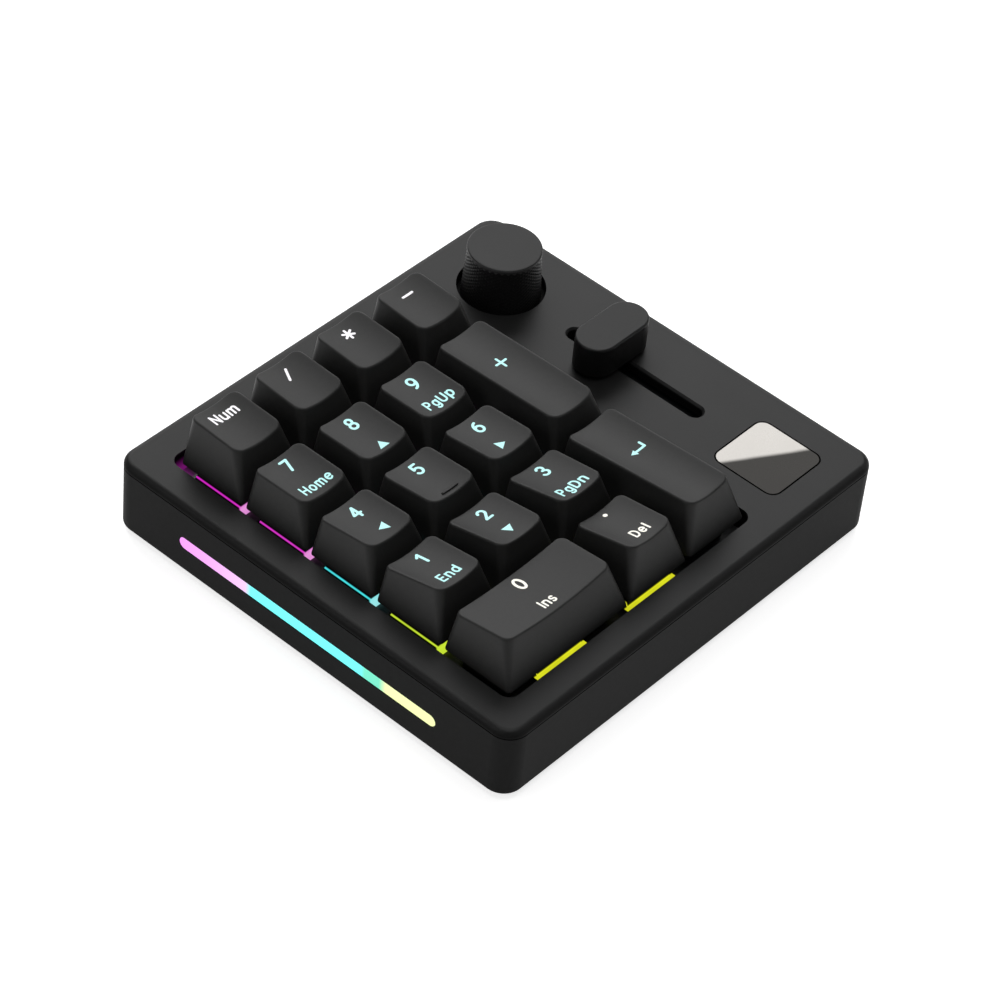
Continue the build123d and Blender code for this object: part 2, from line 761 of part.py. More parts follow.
with BuildPart() as encoder_bush:
    with BuildSketch(Plane.XY.offset(encoder_top_z)):
        with Locations((column_x, knob_y)):
            Rectangle(encoder_width, encoder_depth)
    extrude(amount=encoder_plate)
    with BuildSketch(Plane.XY.offset(bush_base_z)):
        with Locations((column_x, knob_y)):
            Circle(bush_radius)
    extrude(amount=deck_z + bush_rise - bush_base_z)
    with BuildSketch(Plane.XY.offset(encoder_top_z)):
        with Locations((column_x, knob_y)):
            Circle(shaft_radius + shaft_run)
    extrude(amount=deck_z + bush_rise - encoder_top_z, mode=Mode.SUBTRACT)
encoder_bush.part.label = "encoder_bush"
export_step(encoder_bush.part, "parts/encoder_bush.step")

with BuildPart() as encoder_nut:
    with BuildSketch(Plane.XY.offset(well_floor_z)):
        with Locations((column_x, knob_y)):
            RegularPolygon(nut_flats / 2, 6, major_radius=False)
            Circle(bush_radius + fit_gap, mode=Mode.SUBTRACT)
    extrude(amount=nut_height)
encoder_nut.part.label = "encoder_nut"
export_step(encoder_nut.part, "parts/encoder_nut.step")

plunger_z = board_z + encoder_floor + knob_travel + fit_gap
rotor_z = plunger_z + plunger_height + fit_gap
with BuildPart() as encoder_plunger:
    with BuildSketch(Plane.XY.offset(plunger_z)):
        with Locations((column_x, knob_y)):
            Circle(plunger_radius)
    extrude(amount=plunger_height)
encoder_plunger.part.label = "encoder_plunger"
export_step(encoder_plunger.part, "parts/encoder_plunger.step")

shaft_top_z = deck_z + shaft_rise
flat_z = deck_z + knob_boss_lift
with BuildPart() as encoder_shaft:
    with BuildSketch(Plane.XY.offset(rotor_z)):
        with Locations((column_x, knob_y)):
            Circle(rotor_radius)
    extrude(amount=rotor_height)
    with BuildSketch(Plane.XY.offset(rotor_z)):
        with Locations((column_x, knob_y)):
            Circle(shaft_radius)
    extrude(amount=shaft_top_z - rotor_z)
    with BuildSketch(Plane.XY.offset(flat_z)):
        with Locations((column_x + 2 * shaft_radius - flat_depth, knob_y)):
            Rectangle(2 * shaft_radius, 2 * shaft_radius)
    extrude(amount=shaft_top_z - flat_z, mode=Mode.SUBTRACT)
encoder_shaft.part.label = "encoder_shaft"
export_step(encoder_shaft.part, "parts/encoder_shaft.step")

with BuildPart() as knob:
    # turned body: smooth crown band, knurled flank that widens to the skirt
    with BuildSketch(Plane.XZ.offset(-knob_y)):
        with BuildLine():
            Polyline(
                (column_x, knob_top_z),
                (column_x + knob_crown_radius, knob_top_z),
                (column_x + knob_crown_radius, knob_top_z - knob_band),
                (column_x + knob_crown_radius - knurl_depth, knob_top_z - knob_band - knurl_depth),
                (column_x + knob_skirt_radius - knurl_depth, knob_base_z),
                (column_x + knob_hollow_radius, knob_base_z),
                (column_x + knob_hollow_radius, knob_roof_z),
                (column_x + knob_boss_radius, knob_roof_z),
                (column_x + knob_boss_radius, flat_z),
                (column_x, flat_z),
                close=True,
            )
        make_face()
    revolve(axis=Axis((column_x, knob_y, 0), (0, 0, 1)))
    fillet(knob.faces().sort_by(Axis.Z)[-1].edges(), radius=knob_edge)
    with BuildSketch(Plane.XY.offset(flat_z)):
        with Locations((column_x, knob_y)):
            Circle(shaft_radius + shaft_run)
        with Locations((column_x + 2 * shaft_radius - flat_depth + shaft_run, knob_y)):
            Rectangle(2 * shaft_radius, 2 * shaft_radius + 1, mode=Mode.SUBTRACT)
    extrude(amount=shaft_top_z + fit_gap - flat_z, mode=Mode.SUBTRACT)
knob.part.label = "knob"
export_step(knob.part, "parts/knob.step")

# ================================================================ slider
slider_y = slot_y + slider_rest
lever_top_z = deck_z + slider_lift + lever_bite
pot_top_z = board_z + pot_height
carriage_z = board_z + pot_wall + stem_gap
with BuildPart() as slide_pot:
    with BuildSketch(Plane.XY.offset(board_z)):
        with Locations((column_x, slot_y)):
            Rectangle(pot_width, pot_length)
    extrude(amount=pot_height)
    with BuildSketch(Plane.XY.offset(board_z + pot_wall)):
        with Locations((column_x, slot_y)):
            Rectangle(pot_width - 2 * pot_wall, pot_length - 2 * pot_wall)
    extrude(amount=pot_height - 2 * pot_wall, mode=Mode.SUBTRACT)
    with BuildSketch(Plane.XY.offset(board_z + pot_wall)):
        with Locations((column_x, slot_y)):
            Rectangle(lever_thin + 2 * stem_gap, lever_long + 2 * slider_travel + 2 * stem_gap)
    extrude(amount=pot_height - pot_wall, mode=Mode.SUBTRACT)
slide_pot.part.label = "slide_pot"
export_step(slide_pot.part, "parts/slide_pot.step")

with BuildPart() as slider_lever:
    with BuildSketch(Plane.XY.offset(carriage_z)):
        with Locations((column_x, slider_y)):
            Rectangle(pot_width - 2 * pot_wall - 2 * stem_gap, carriage_long)
    extrude(amount=carriage_height)
    with BuildSketch(Plane.XY.offset(carriage_z + carriage_height)):
        with Locations((column_x, slider_y)):
            Rectangle(lever_thin, lever_long)
    extrude(amount=lever_top_z - carriage_z - carriage_height)
slider_lever.part.label = "slider_lever"
export_step(slider_lever.part, "parts/slider_lever.step")

with BuildPart() as slider_cap:
    with BuildSketch(Plane.XY.offset(deck_z + slider_lift)):
        with Locations((column_x, slider_y)):
            SlotOverall(slider_length, slider_width)
    extrude(amount=slider_height - slider_lift)
    fillet(slider_cap.faces().sort_by(Axis.Z)[-1].edges(), radius=slider_edge)
    with BuildSketch(Plane.XY.offset(deck_z + slider_lift)):
        with Locations((column_x, slider_y)):
            SlotOverall(slider_length - 2 * slider_wall, slider_width - 2 * slider_wall)
            Rectangle(lever_thin + 2 * slider_wall, slider_width, mode=Mode.SUBTRACT)
    extrude(amount=slider_height - slider_lift - slider_roof, mode=Mode.SUBTRACT)
    with BuildSketch(Plane.XY.offset(deck_z + slider_lift)):
        with Locations((column_x, slider_y)):
            Rectangle(lever_thin + 2 * cross_fit, lever_long + 2 * cross_fit)
    extrude(amount=lever_bite, mode=Mode.SUBTRACT)
slider_cap.part.label = "slider_cap"
export_step(slider_cap.part, "parts/slider_cap.step")

# ================================================================ mirror tile
with BuildPart() as mirror_tile:
    with BuildSketch(Plane.XY.offset(deck_z - tile_thickness)):
        with Locations((column_x, tile_y)):
            RectangleRounded(tile_size, tile_size, tile_corner)
    extrude(amount=tile_thickness)
mirror_tile.part.label = "mirror_tile"
export_step(mirror_tile.part, "parts/mirror_tile.step")

# ================================================================ port and mode switch
with BuildPart() as usb_c_port:
    with BuildSketch(Plane.XZ.offset(-(rear_y - port_sink))):
        with Locations((port_x, port_z)):
            SlotOverall(port_width, port_height)
            SlotOverall(port_width - 2 * port_wall, port_height - 2 * port_wall, mode=Mode.SUBTRACT)
    extrude(amount=port_depth)
    with BuildSketch(Plane.XZ.offset(-(rear_y - port_sink - port_depth + port_wall))):
        with Locations((port_x, port_z)):
            SlotOverall(port_width - port_wall, port_height - port_wall)
    extrude(amount=port_wall)
    with BuildSketch(Plane.XZ.offset(-(rear_y - 2 * port_sink))):
        with Locations((port_x, port_z)):
            Rectangle(tongue_width, tongue_height)
    extrude(amount=port_depth - port_sink - port_wall)
usb_c_port.part.label = "usb_c_port"
export_step(usb_c_port.part, "parts/usb_c_port.step")

mode_face_y = rear_y - wall
mode_shaft_height = mode_stem + 2 * bore_gap
with BuildPart() as mode_switch_body:
    with BuildSketch(Plane.XZ.offset(-mode_face_y)):
        with Locations((mode_x, mode_z)):
            Rectangle(mode_body_width, mode_body_height)
    extrude(amount=mode_body_depth)
    with BuildSketch(Plane.XZ.offset(-mode_face_y)):
        with Locations((mode_x, mode_z)):
            Rectangle(mode_stem + 2 * mode_travel + 2 * mode_gap, mode_shaft_height)
    extrude(amount=mode_body_depth - pot_wall, mode=Mode.SUBTRACT)
mode_switch_body.part.label = "mode_switch_body"
export_step(mode_switch_body.part, "parts/mode_switch_body.step")

with BuildPart() as mode_switch_knob:
    with BuildSketch(Plane.XZ.offset(-(rear_y - strip_sink))):
        with Locations((mode_x, mode_z)):
            RectangleRounded(mode_knob_width, mode_knob_height, mode_knob_corner)
    extrude(amount=mode_knob_depth)
    with BuildSketch(Plane.XZ.offset(-(rear_y - strip_sink - mode_knob_depth))):
        with Locations((mode_x, mode_z)):
            Rectangle(mode_stem, mode_stem)
    extrude(amount=wall - strip_sink - mode_knob_depth + mode_body_depth - pot_wall - bore_gap)
mode_switch_knob.part.label = "mode_switch_knob"
export_step(mode_switch_knob.part, "parts/mode_switch_knob.step")
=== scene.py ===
"""Macro keypad: keycaps, legends, knob, finishes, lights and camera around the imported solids."""
from math import cos, pi, radians, sin

import bpy
import numpy as np
from bpy.props import FloatProperty, FloatVectorProperty, IntProperty, PointerProperty
from mathutils import Matrix, Vector


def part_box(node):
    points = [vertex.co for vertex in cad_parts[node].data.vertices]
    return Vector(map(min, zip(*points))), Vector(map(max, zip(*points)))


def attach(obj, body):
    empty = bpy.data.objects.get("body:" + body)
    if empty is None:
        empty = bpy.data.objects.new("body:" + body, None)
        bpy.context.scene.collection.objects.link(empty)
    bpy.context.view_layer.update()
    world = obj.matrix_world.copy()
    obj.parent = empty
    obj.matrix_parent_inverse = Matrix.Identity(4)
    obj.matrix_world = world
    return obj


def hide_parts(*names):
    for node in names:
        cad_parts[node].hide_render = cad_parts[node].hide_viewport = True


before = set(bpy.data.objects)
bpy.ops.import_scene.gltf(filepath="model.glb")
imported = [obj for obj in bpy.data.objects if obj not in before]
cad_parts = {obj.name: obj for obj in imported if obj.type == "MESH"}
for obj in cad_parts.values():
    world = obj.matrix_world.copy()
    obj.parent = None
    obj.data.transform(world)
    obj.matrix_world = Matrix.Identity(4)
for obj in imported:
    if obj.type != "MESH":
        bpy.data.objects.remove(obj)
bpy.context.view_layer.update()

bl_info = {
    "name": "Macro keypad",
    "version": (1, 0, 0),
    "blender": (4, 5, 0),
    "location": "3D View > Sidebar > Keypad",
    "description": "Keycaps, legends, knob, finishes and light of a macro keypad",
    "category": "Add Mesh",
}

mm = 0.001
DECK = 19.9 * mm            # top of the case
SKIRT = 19.75 * mm          # lower edge of the keycaps
CEILING = 25.8 * mm         # roof of a keycap's hollow
SOCKET = 20.8 * mm          # lower end of a keycap's socket
PITCH, SKIRT_SIZE, CROWN_WIDTH = 19.05 * mm, 18.3 * mm, 13.55 * mm
SKIRT_CORNER, CROWN_CORNER = 1.1 * mm, 2.3 * mm
STAB_REACH = 11.9 * mm      # from the middle of a long key to its stabiliser sockets
TILE_MIDDLE = (42.45 * mm, -39.95 * mm)
FIELD_FRONT, FIELD_REAR = -48.5 * mm, 46.7 * mm     # front and rear of the key field
# each row's crown, the front row first: height of an edge above the deck and how far it lies inside the skirt,
# in millimetres
FRONTS = [(11.45, 3.55), (11.45, 3.65), (10.35, 3.8), (9.5, 4.0), (10.95, 4.1)]
REARS = [(8.25, 0.0), (8.2, -0.2), (8.8, 0.0), (9.25, -0.15), (11.55, -0.2)]
WIDE_FRONT, WIDE_REAR = (10.7, 3.9), (8.9, 0.3)

# each key's front row and rear row
KEYS = {
    "num": (4, 4), "divide": (4, 4), "multiply": (4, 4), "minus": (4, 4),
    "seven": (3, 3), "eight": (3, 3), "nine": (3, 3), "plus": (2, 3),
    "four": (2, 2), "five": (2, 2), "six": (2, 2),
    "one": (1, 1), "two": (1, 1), "three": (1, 1), "enter": (0, 1),
    "zero": (0, 0), "point": (0, 0),
}


# ================================================================ letters
def arc(x, y, rx, ry, start, stop, count=14):
    """Points of an ellipse about (x, y) between two angles in degrees."""
    t = np.radians(np.linspace(start, stop, count))
    return np.column_stack([x + rx * np.cos(t), y + ry * np.sin(t)])


def run(*parts):
    """One smooth stroke through points and arcs, in order."""
    return np.vstack([np.atleast_2d(np.asarray(part, float)) for part in parts])


def lines(*points):
    """Straight strokes from each point to the next, so that every corner is round."""
    return [run(a, b) for a, b in zip(points, points[1:])]


# width and strokes of each sign, 1 high
LETTERS = {
    "0": (0.54, [arc(0.27, 0.5, 0.27, 0.5, 90, 450, 32)]),
    "1": (0.34, lines((0.02, 0.76), (0.27, 1.0), (0.27, 0.0))),
    "2": (0.54, [run(arc(0.27, 0.71, 0.25, 0.29, 165, -30), (0.02, 0.0))] + lines((0.02, 0.0), (0.54, 0.0))),
    "3": (0.54, [arc(0.26, 0.755, 0.23, 0.245, 155, -90), arc(0.26, 0.255, 0.27, 0.255, 90, -155)]),
    "4": (0.58, lines((0.42, 0.0), (0.42, 1.0), (0.0, 0.3), (0.58, 0.3))),
    "5": (0.54, lines((0.5, 1.0), (0.1, 1.0), (0.05, 0.54)) + [run(arc(0.26, 0.31, 0.27, 0.31, 138, -150, 20))]),
    "6": (0.54, [arc(0.27, 0.31, 0.27, 0.31, 0, 360, 28), run(arc(0.5, 0.35, 0.5, 0.65, 180, 100, 12))]),
    "7": (0.54, lines((0.0, 1.0), (0.52, 1.0), (0.18, 0.0))),
    "8": (0.54, [arc(0.27, 0.755, 0.22, 0.245, 0, 360, 26), arc(0.27, 0.26, 0.27, 0.26, 0, 360, 28)]),
    "9": (0.54, [arc(0.27, 0.69, 0.27, 0.31, 0, 360, 28), run(arc(0.04, 0.65, 0.5, 0.65, 0, -80, 12))]),
    "N": (0.62, lines((0, 0), (0, 1), (0.62, 0), (0.62, 1))),
    "H": (0.6, lines((0, 0), (0, 1)) + lines((0.6, 0), (0.6, 1)) + lines((0, 0.5), (0.6, 0.5))),
    "P": (0.52, lines((0, 0), (0, 1)) + [run((0, 1), arc(0.27, 0.74, 0.25, 0.26, 90, -90), (0, 0.48))]),
    "U": (0.58, [run((0, 1), arc(0.29, 0.29, 0.29, 0.29, 180, 360), (0.58, 1))]),
    "E": (0.5, lines((0.5, 1), (0, 1), (0, 0), (0.5, 0)) + lines((0, 0.51), (0.44, 0.51))),
    "D": (0.6, lines((0, 0), (0, 1)) + [run((0, 1), arc(0.24, 0.5, 0.36, 0.5, 90, -90, 18), (0, 0))]),
    "I": (0.0, lines((0, 0), (0, 1))),
    "l": (0.0, lines((0, 0), (0, 1))),
    "u": (0.48, [run((0, 0.72), arc(0.24, 0.24, 0.24, 0.24, 180, 360), (0.48, 0.72))]
          + lines((0.48, 0.72), (0.48, 0))),
    "n": (0.48, [run((0, 0), (0, 0.72)), run(arc(0.24, 0.48, 0.24, 0.24, 180, 0), (0.48, 0))]),
    "m": (0.8, [run((0, 0), (0, 0.72)), run(arc(0.2, 0.52, 0.2, 0.2, 180, 0), (0.4, 0)),
                run(arc(0.6, 0.52, 0.2, 0.2, 180, 0), (0.8, 0))]),
    "o": (0.52, [arc(0.26, 0.36, 0.26, 0.36, 0, 360, 26)]),
    "e": (0.52, [run((0.02, 0.38), arc(0.26, 0.36, 0.26, 0.36, 3, 318, 24))]),
    "d": (0.5, [arc(0.25, 0.36, 0.25, 0.36, 0, 360, 26), run((0.5, 1), (0.5, 0))]),
    "p": (0.5, [arc(0.25, 0.36, 0.25, 0.36, 0, 360, 26), run((0, 0.72), (0, -0.28))]),
    "g": (0.5, [arc(0.25, 0.38, 0.25, 0.34, 0, 360, 26), run((0.5, 0.72), arc(0.25, -0.06, 0.25, 0.22, 0, -150))]),
    "s": (0.4, [run(arc(0.2, 0.54, 0.19, 0.18, 35, 250, 12), arc(0.2, 0.18, 0.2, 0.18, 80, -145, 12))]),
}

# signs that aren't letters, in millimetres about their middle: (centre line, half width at its start and end)
SIGNS = {
    "slash": [((-0.8, -1.5), (0.8, 1.5), None)],
    "star": [((-1.35 * cos(a), -1.35 * sin(a)), (1.35 * cos(a), 1.35 * sin(a)), None)
             for a in (radians(30), radians(90), radians(150))],
    "dash": [((-1.45, 0), (1.45, 0), None)],
    "cross": [((-1.5, 0), (1.5, 0), None), ((0, -1.5), (0, 1.5), None)],
    "dot": [((-0.02, 0), (0.02, 0), 0.52)],
    "up": [((0, -1.1), (0, 1.1), (1.35, 0.02))],
    "down": [((0, 1.1), (0, -1.1), (1.35, 0.02))],
    "left": [((1.1, 0), (-1.1, 0), (1.35, 0.02))],
    "right": [((-1.1, 0), (1.1, 0), (1.35, 0.02))],
    "return": [((-1.3, 0), (2.05, 0), None), ((2.05, 0), (2.05, 1.55), None),
               ((-0.75, 0), (-2.3, 0), (0.85, 0.02))],
}

# what stands on each key: word or sign, its place from the middle of the key and its height in millimetres, tint
WHITE, ICE, WARM = (0.92, 0.90, 0.94), (0.42, 0.88, 0.87), (0.92, 0.90, 0.80)
WORD_HEIGHT = 2.6           # letters this high have the set width of stroke, and taller ones a wider one
SIGN_STROKE = 1.392         # a sign's strokes against the set width
LEGENDS = {
    "num": [("Num", -0.11, 5.5, 3.0, WHITE)],
    "divide": [("slash", -0.1, 5.14, 0, WHITE)],
    "multiply": [("star", -0.11, 5.27, 0, WHITE)],
    "minus": [("dash", -0.12, 5.4, 0, WHITE)],
    "seven": [("7", 0.17, 5.77, 3.9, ICE), ("Home", 0.31, -2.31, 2.75, ICE)],
    "eight": [("8", 0.18, 5.46, 3.9, ICE), ("up", 0.34, -3.24, 0, ICE)],
    "nine": [("9", 0.19, 5.25, 3.9, ICE), ("PgUp", 0.33, -2.21, 2.9, ICE)],
    "plus": [("cross", -0.05, 6.01, 0, ICE)],
    "four": [("4", 0.21, 5.29, 3.9, ICE), ("left", 0.61, -2.1, 0, ICE)],
    "five": [("5", 0.22, 5.43, 3.9, ICE)],
    "six": [("6", 0.23, 5.31, 3.9, ICE), ("right", -0.59, -2.22, 0, ICE)],
    "one": [("1", 0.36, 5.62, 3.9, ICE), ("End", -0.17, -2.27, 2.8, ICE)],
    "two": [("2", 0.37, 5.47, 3.9, ICE), ("down", -0.16, -2.05, 0, ICE)],
    "three": [("3", 0.41, 5.84, 3.9, ICE), ("PgDn", -0.22, -2.7, 2.9, ICE)],
    "enter": [("return", 0.65, 5.15, 0, ICE)],
    "zero": [("0", -0.1, 5.51, 3.9, WARM), ("Ins", -0.47, -2.29, 2.7, WARM)],
    "point": [("dot", 0.07, 6.97, 0, WARM), ("Del", 0.2, -2.16, 2.7, WARM)],
}

# colours of the light from the front to the rear: (share of the way, colour)
BLACK = (0.0, 0.0, 0.0)
STRIP_COLOURS = [
    (0.0, (0.92, 1.0, 0.44)), (0.19, (0.92, 1.0, 0.46)), (0.215, (0.12, 0.80, 0.54)),
    (0.27, (0.12, 0.82, 0.58)), (0.285, (0.12, 1.0, 1.0)), (0.715, (0.12, 1.0, 1.0)),
    (0.735, (0.92, 0.58, 1.0)), (0.86, (0.93, 0.40, 1.0)), (1.0, (0.95, 0.29, 1.0)),
]
GLOW_COLOURS = [
    (0.0, (0.84, 0.86, 0.02)), (0.20, (0.84, 0.88, 0.02)), (0.215, (0.62, 0.84, 0.04)),
    (0.39, (0.62, 0.84, 0.04)), (0.41, (0.06, 0.82, 0.82)), (0.59, (0.08, 0.86, 0.92)),
    (0.61, (0.80, 0.05, 0.66)), (1.0, (0.72, 0.02, 0.60)),
]

# lamps: place, then width and height, in metres
LAMPS = {
    "rear": ((0.57, 0.63, 0.60), (1.1, 0.75)),
    "left": ((-0.9, 0.25, 0.55), (0.8, 0.6)),
    "right": ((0.9, -0.45, 0.55), (0.8, 0.6)),
    "front": ((-0.1, -1.0, 0.5), (0.9, 0.6)),
    "top": ((0.0, 0.0, 1.2), (0.9, 0.9)),
}
LAMP_TARGET = Vector((0, 0, 0.02))
# camera: place in millimetres, its right, up and ahead directions, and its lens for a 36 mm sensor
CAMERA_PLACE = Vector((-495.926, -386.612, 604.965))
CAMERA_AXES = ((0.66741, -0.74081, 0.07593), (0.47648, 0.50317, 0.72096), (0.57230, 0.44500, -0.68880))
CAMERA_LENS = 143.52


# ================================================================ settings
def length(name, description, default, low, high):
    """Setting for a length: millimetres here, metres in the panel."""
    return FloatProperty(name=name, description=description, default=default * mm, min=low * mm, max=high * mm,
                         unit="LENGTH")


def power(name, description, default):
    """Setting for a lamp, in watts."""
    return FloatProperty(name=name, description=description, default=default, min=0, max=100, unit="POWER")


def brightness(name, description, default):
    """Setting for a light that has no unit."""
    return FloatProperty(name=name, description=description, default=default, min=0, max=5)


def finish_colour(name, description, default):
    """Setting for a colour."""
    return FloatVectorProperty(name=name, description=description, subtype="COLOR", default=default, min=0, max=1)


class KeycapSettings(bpy.types.PropertyGroup):
    """Sizes of the keycaps."""
    side_roll: length("Side roll", "Round on a crown's left and right edge", 0.6, 0.1, 2)
    front_roll: length("Front roll", "Round on a crown's front and rear edge", 0.4, 0.1, 2)
    wall: length("Wall", "Thickness of a keycap's walls", 1.3, 0.6, 2)
    dish: length("Dish radius", "Radius of the hollow along a crown", 22.6, 15, 80)
    bar_dish: length("Wide key's dish radius", "Radius of the hollow along the wide key", 124, 50, 900)
    bar_length: length("Touch bar length", "Length of the bar on the middle key", 4.9, 2, 8)
    bar_inset: length("Touch bar inset", "Touch bar from the front edge of the crown", 1.2, 0.5, 4)


class LegendSettings(bpy.types.PropertyGroup):
    """Sizes of the legends."""
    stroke: length("Stroke", "Width of a letter's strokes", 0.42, 0.1, 1)
    spacing: FloatProperty(name="Spacing", description="Room between letters, as a share of their height",
                           default=0.36, min=0.1, max=1.0)
    lift: length("Lift", "How far a legend stands above the crown", 0.03, 0.005, 0.1)
    glow: brightness("Glow", "Brightness of the lit legends", 1.0)


class KnobSettings(bpy.types.PropertyGroup):
    """Sizes of the turned knob."""
    diamonds: IntProperty(name="Diamonds", description="Knurled diamonds round the knob",
                          default=38, min=12, max=60)
    pitch: length("Pitch", "Height of one knurled diamond", 0.9, 0.5, 3)
    depth: length("Depth", "Depth of the knurl", 0.15, 0.05, 0.4)


class FinishSettings(bpy.types.PropertyGroup):
    """Colours of the finishes."""
    case: finish_colour("Case", "Moulded plastic of the case", (0.0125, 0.0125, 0.0125))
    caps: finish_colour("Keycaps", "Moulded plastic of the keycaps", (0.020, 0.020, 0.0195))
    controls: finish_colour("Controls", "Knob and slider cap", (0.0105, 0.0105, 0.0105))
    tile: finish_colour("Tile", "Polished metal of the tile", (0.335, 0.322, 0.305))


class LightSettings(bpy.types.PropertyGroup):
    """Brightness of the coloured light."""
    strip: brightness("Strip", "Brightness of the light strips", 1.0)
    glow: brightness("Glow", "Brightness between the keys", 1.0)


class StageSettings(bpy.types.PropertyGroup):
    """Brightness of the stage."""
    rear: power("Rear lamp", "Power of the large lamp behind the keypad", 6.6)
    left: power("Left lamp", "Power of the lamp on the left", 1.6)
    right: power("Right lamp", "Power of the lamp on the right", 1.0)
    front: power("Front lamp", "Power of the lamp in front", 0.55)
    top: power("Top lamp", "Power of the lamp above", 4.1)
    room: brightness("Room", "Brightness of the room", 0.03)
    floor: brightness("Floor", "Brightness of the lit floor", 0.75)


# ================================================================ paint
class Shade:
    """A shader socket. Signs between shades and numbers add Math nodes."""

    def __init__(self, paint, socket):
        self.paint, self.socket = paint, socket

    def __add__(self, other):
        return self.paint.sum("ADD", self, other)

    def __sub__(self, other):
        return self.paint.sum("SUBTRACT", self, other)

    def __rsub__(self, other):
        return self.paint.sum("SUBTRACT", other, self)

    def __mul__(self, other):
        return self.paint.sum("MULTIPLY", self, other)

    def __abs__(self):
        return self.paint.sum("ABSOLUTE", self)


class Paint:
    """A material with its Principled shader, and the nodes that feed it."""

    def __init__(self, name, **values):
        self.material = bpy.data.materials.new(name)
        self.material.use_nodes = True
        self.tree = self.material.node_tree
        self.shader = next(n for n in self.tree.nodes if n.type == "BSDF_PRINCIPLED")
        self.feed(self.shader, values)
        self.place = self.add("ShaderNodeTexCoord", out="Object")
        axes = self.add("ShaderNodeSeparateXYZ", {}, {0: self.place}, out=None)
        self.x, self.y, self.z = (Shade(self, s) for s in axes.outputs)

    def feed(self, node, values):
        """Values, colours and links into a node's sockets, by name or by number."""
        for key, value in values.items():
            socket = node.inputs[key.replace("_", " ") if isinstance(key, str) else key]
            if isinstance(value, Shade):
                self.tree.links.new(value.socket, socket)
            elif socket.type == "RGBA" and len(value) == 3:
                socket.default_value = (*value, 1.0)
            else:
                socket.default_value = value

    def add(self, kind, settings=None, values=None, out=0):
        """A node of one kind: its settings first, then the values or links of its sockets."""
        node = self.tree.nodes.new(kind)
        for key, value in (settings or {}).items():
            if key == "stops":
                ramp = node.color_ramp
                while len(ramp.elements) < len(value):
                    ramp.elements.new(0.5)
                for stop, (at, colour) in zip(ramp.elements, value):
                    stop.position, stop.color = at, (*colour, 1.0)
            else:
                setattr(node, key, value)
        self.feed(node, values or {})
        return node if out is None else Shade(self, node.outputs[out])

    def sum(self, operation, *values):
        """Math node: one operation on shades and numbers."""
        return self.add("ShaderNodeMath", {"operation": operation}, dict(enumerate(values)))

    def between(self, value, low, high, first=0.0, last=1.0):
        """value carried from low..high to first..last, and held beyond."""
        return self.add("ShaderNodeMapRange", {"interpolation_type": "SMOOTHSTEP"},
                        {0: value, 1: low, 2: high, 3: first, 4: last})

    def evenly(self, value, low, high):
        """value carried in proportion from low..high to 0..1."""
        return self.add("ShaderNodeMapRange", {}, {0: value, 1: low, 2: high})

    def noise(self, size, detail=2.0, roughness=0.5, stretch=None):
        """Noise whose features are about size metres across, 0.5 on average."""
        place = self.place
        if stretch:
            place = self.add("ShaderNodeMapping", {}, {"Vector": place, "Scale": stretch})
        return self.add("ShaderNodeTexNoise", {}, {"Vector": place, "Scale": 1 / size, "Detail": detail,
                                                   "Roughness": roughness})

    def mix(self, share, first, second):
        """Two colours, or shades of colour, mixed by a share."""
        return self.add("ShaderNodeMix", {"data_type": "RGBA"},
                        {0: share, 6: tinted(first), 7: tinted(second)}, out=2)

    def ramp(self, value, stops):
        """Colour between stops, each a share and its colour."""
        return self.add("ShaderNodeValToRGB", {"stops": stops}, {0: value})

    def wear(self, **values):
        """Values, colours and links of the material's Principled shader."""
        self.feed(self.shader, values)

    def bump(self, height, distance):
        """height, from 0 to 1, raised by distance metres."""
        self.wear(Normal=self.add("ShaderNodeBump", {}, {"Distance": distance, "Height": height}))

    def glaze(self, share, specular):
        """Where share is 1, the same surface with another specular level."""
        links = {link.to_socket.name: Shade(self, link.from_socket) for link in self.tree.links
                 if link.to_node == self.shader}
        bright = self.add("ShaderNodeBsdfPrincipled", {}, {**links, "Specular IOR Level": specular})
        both = self.add("ShaderNodeMixShader", {}, {0: share, 1: Shade(self, self.shader.outputs[0]), 2: bright})
        output = next(n for n in self.tree.nodes if n.type == "OUTPUT_MATERIAL")
        self.tree.links.new(both.socket, output.inputs["Surface"])


def tinted(colour):
    """A shade as it is, or a colour with its fourth channel."""
    return colour if isinstance(colour, Shade) else (*colour[:3], 1.0)


def times(colour, factor):
    """A colour made darker or lighter."""
    return tuple(c * factor for c in colour)


def moulded(name, colour, rough, grain=0.22 * mm, depth=0.008 * mm, mottle=0.10, specular=0.5):
    """Moulded plastic: fine eroded grain, faint mottling, and broad patches where hands polish it."""
    paint = Paint(name, Specular_IOR_Level=specular)
    fine = paint.noise(grain, detail=3.0)
    broad = paint.noise(14 * mm, detail=4.0)
    speck = paint.noise(1.1 * mm, detail=2.0)
    shade = paint.between(broad * 0.6 + speck * 0.4, 0.3, 0.7)
    paint.wear(Base_Color=paint.mix(shade, times(colour, 1 - mottle), times(colour, 1 + mottle)),
               Roughness=(broad - 0.5) * 0.06 + (fine - 0.5) * 0.08 + rough)
    paint.bump(fine, depth)
    return paint


def brushed(name, colour, rough, stretch=(1.0, 18.0, 18.0), metallic=1.0, depth=0.004 * mm):
    """Metal with fine drawn lines along one axis and faint staining."""
    paint = Paint(name, Metallic=metallic)
    drawn = paint.noise(1.6 * mm, detail=4.0, roughness=0.65, stretch=stretch)
    stain = paint.noise(5 * mm, detail=3.0)
    paint.wear(Base_Color=paint.mix(stain, times(colour, 0.86), colour),
               Roughness=(drawn - 0.5) * 0.25 + (stain - 0.5) * 0.1 + rough)
    paint.bump(drawn, depth)
    return paint


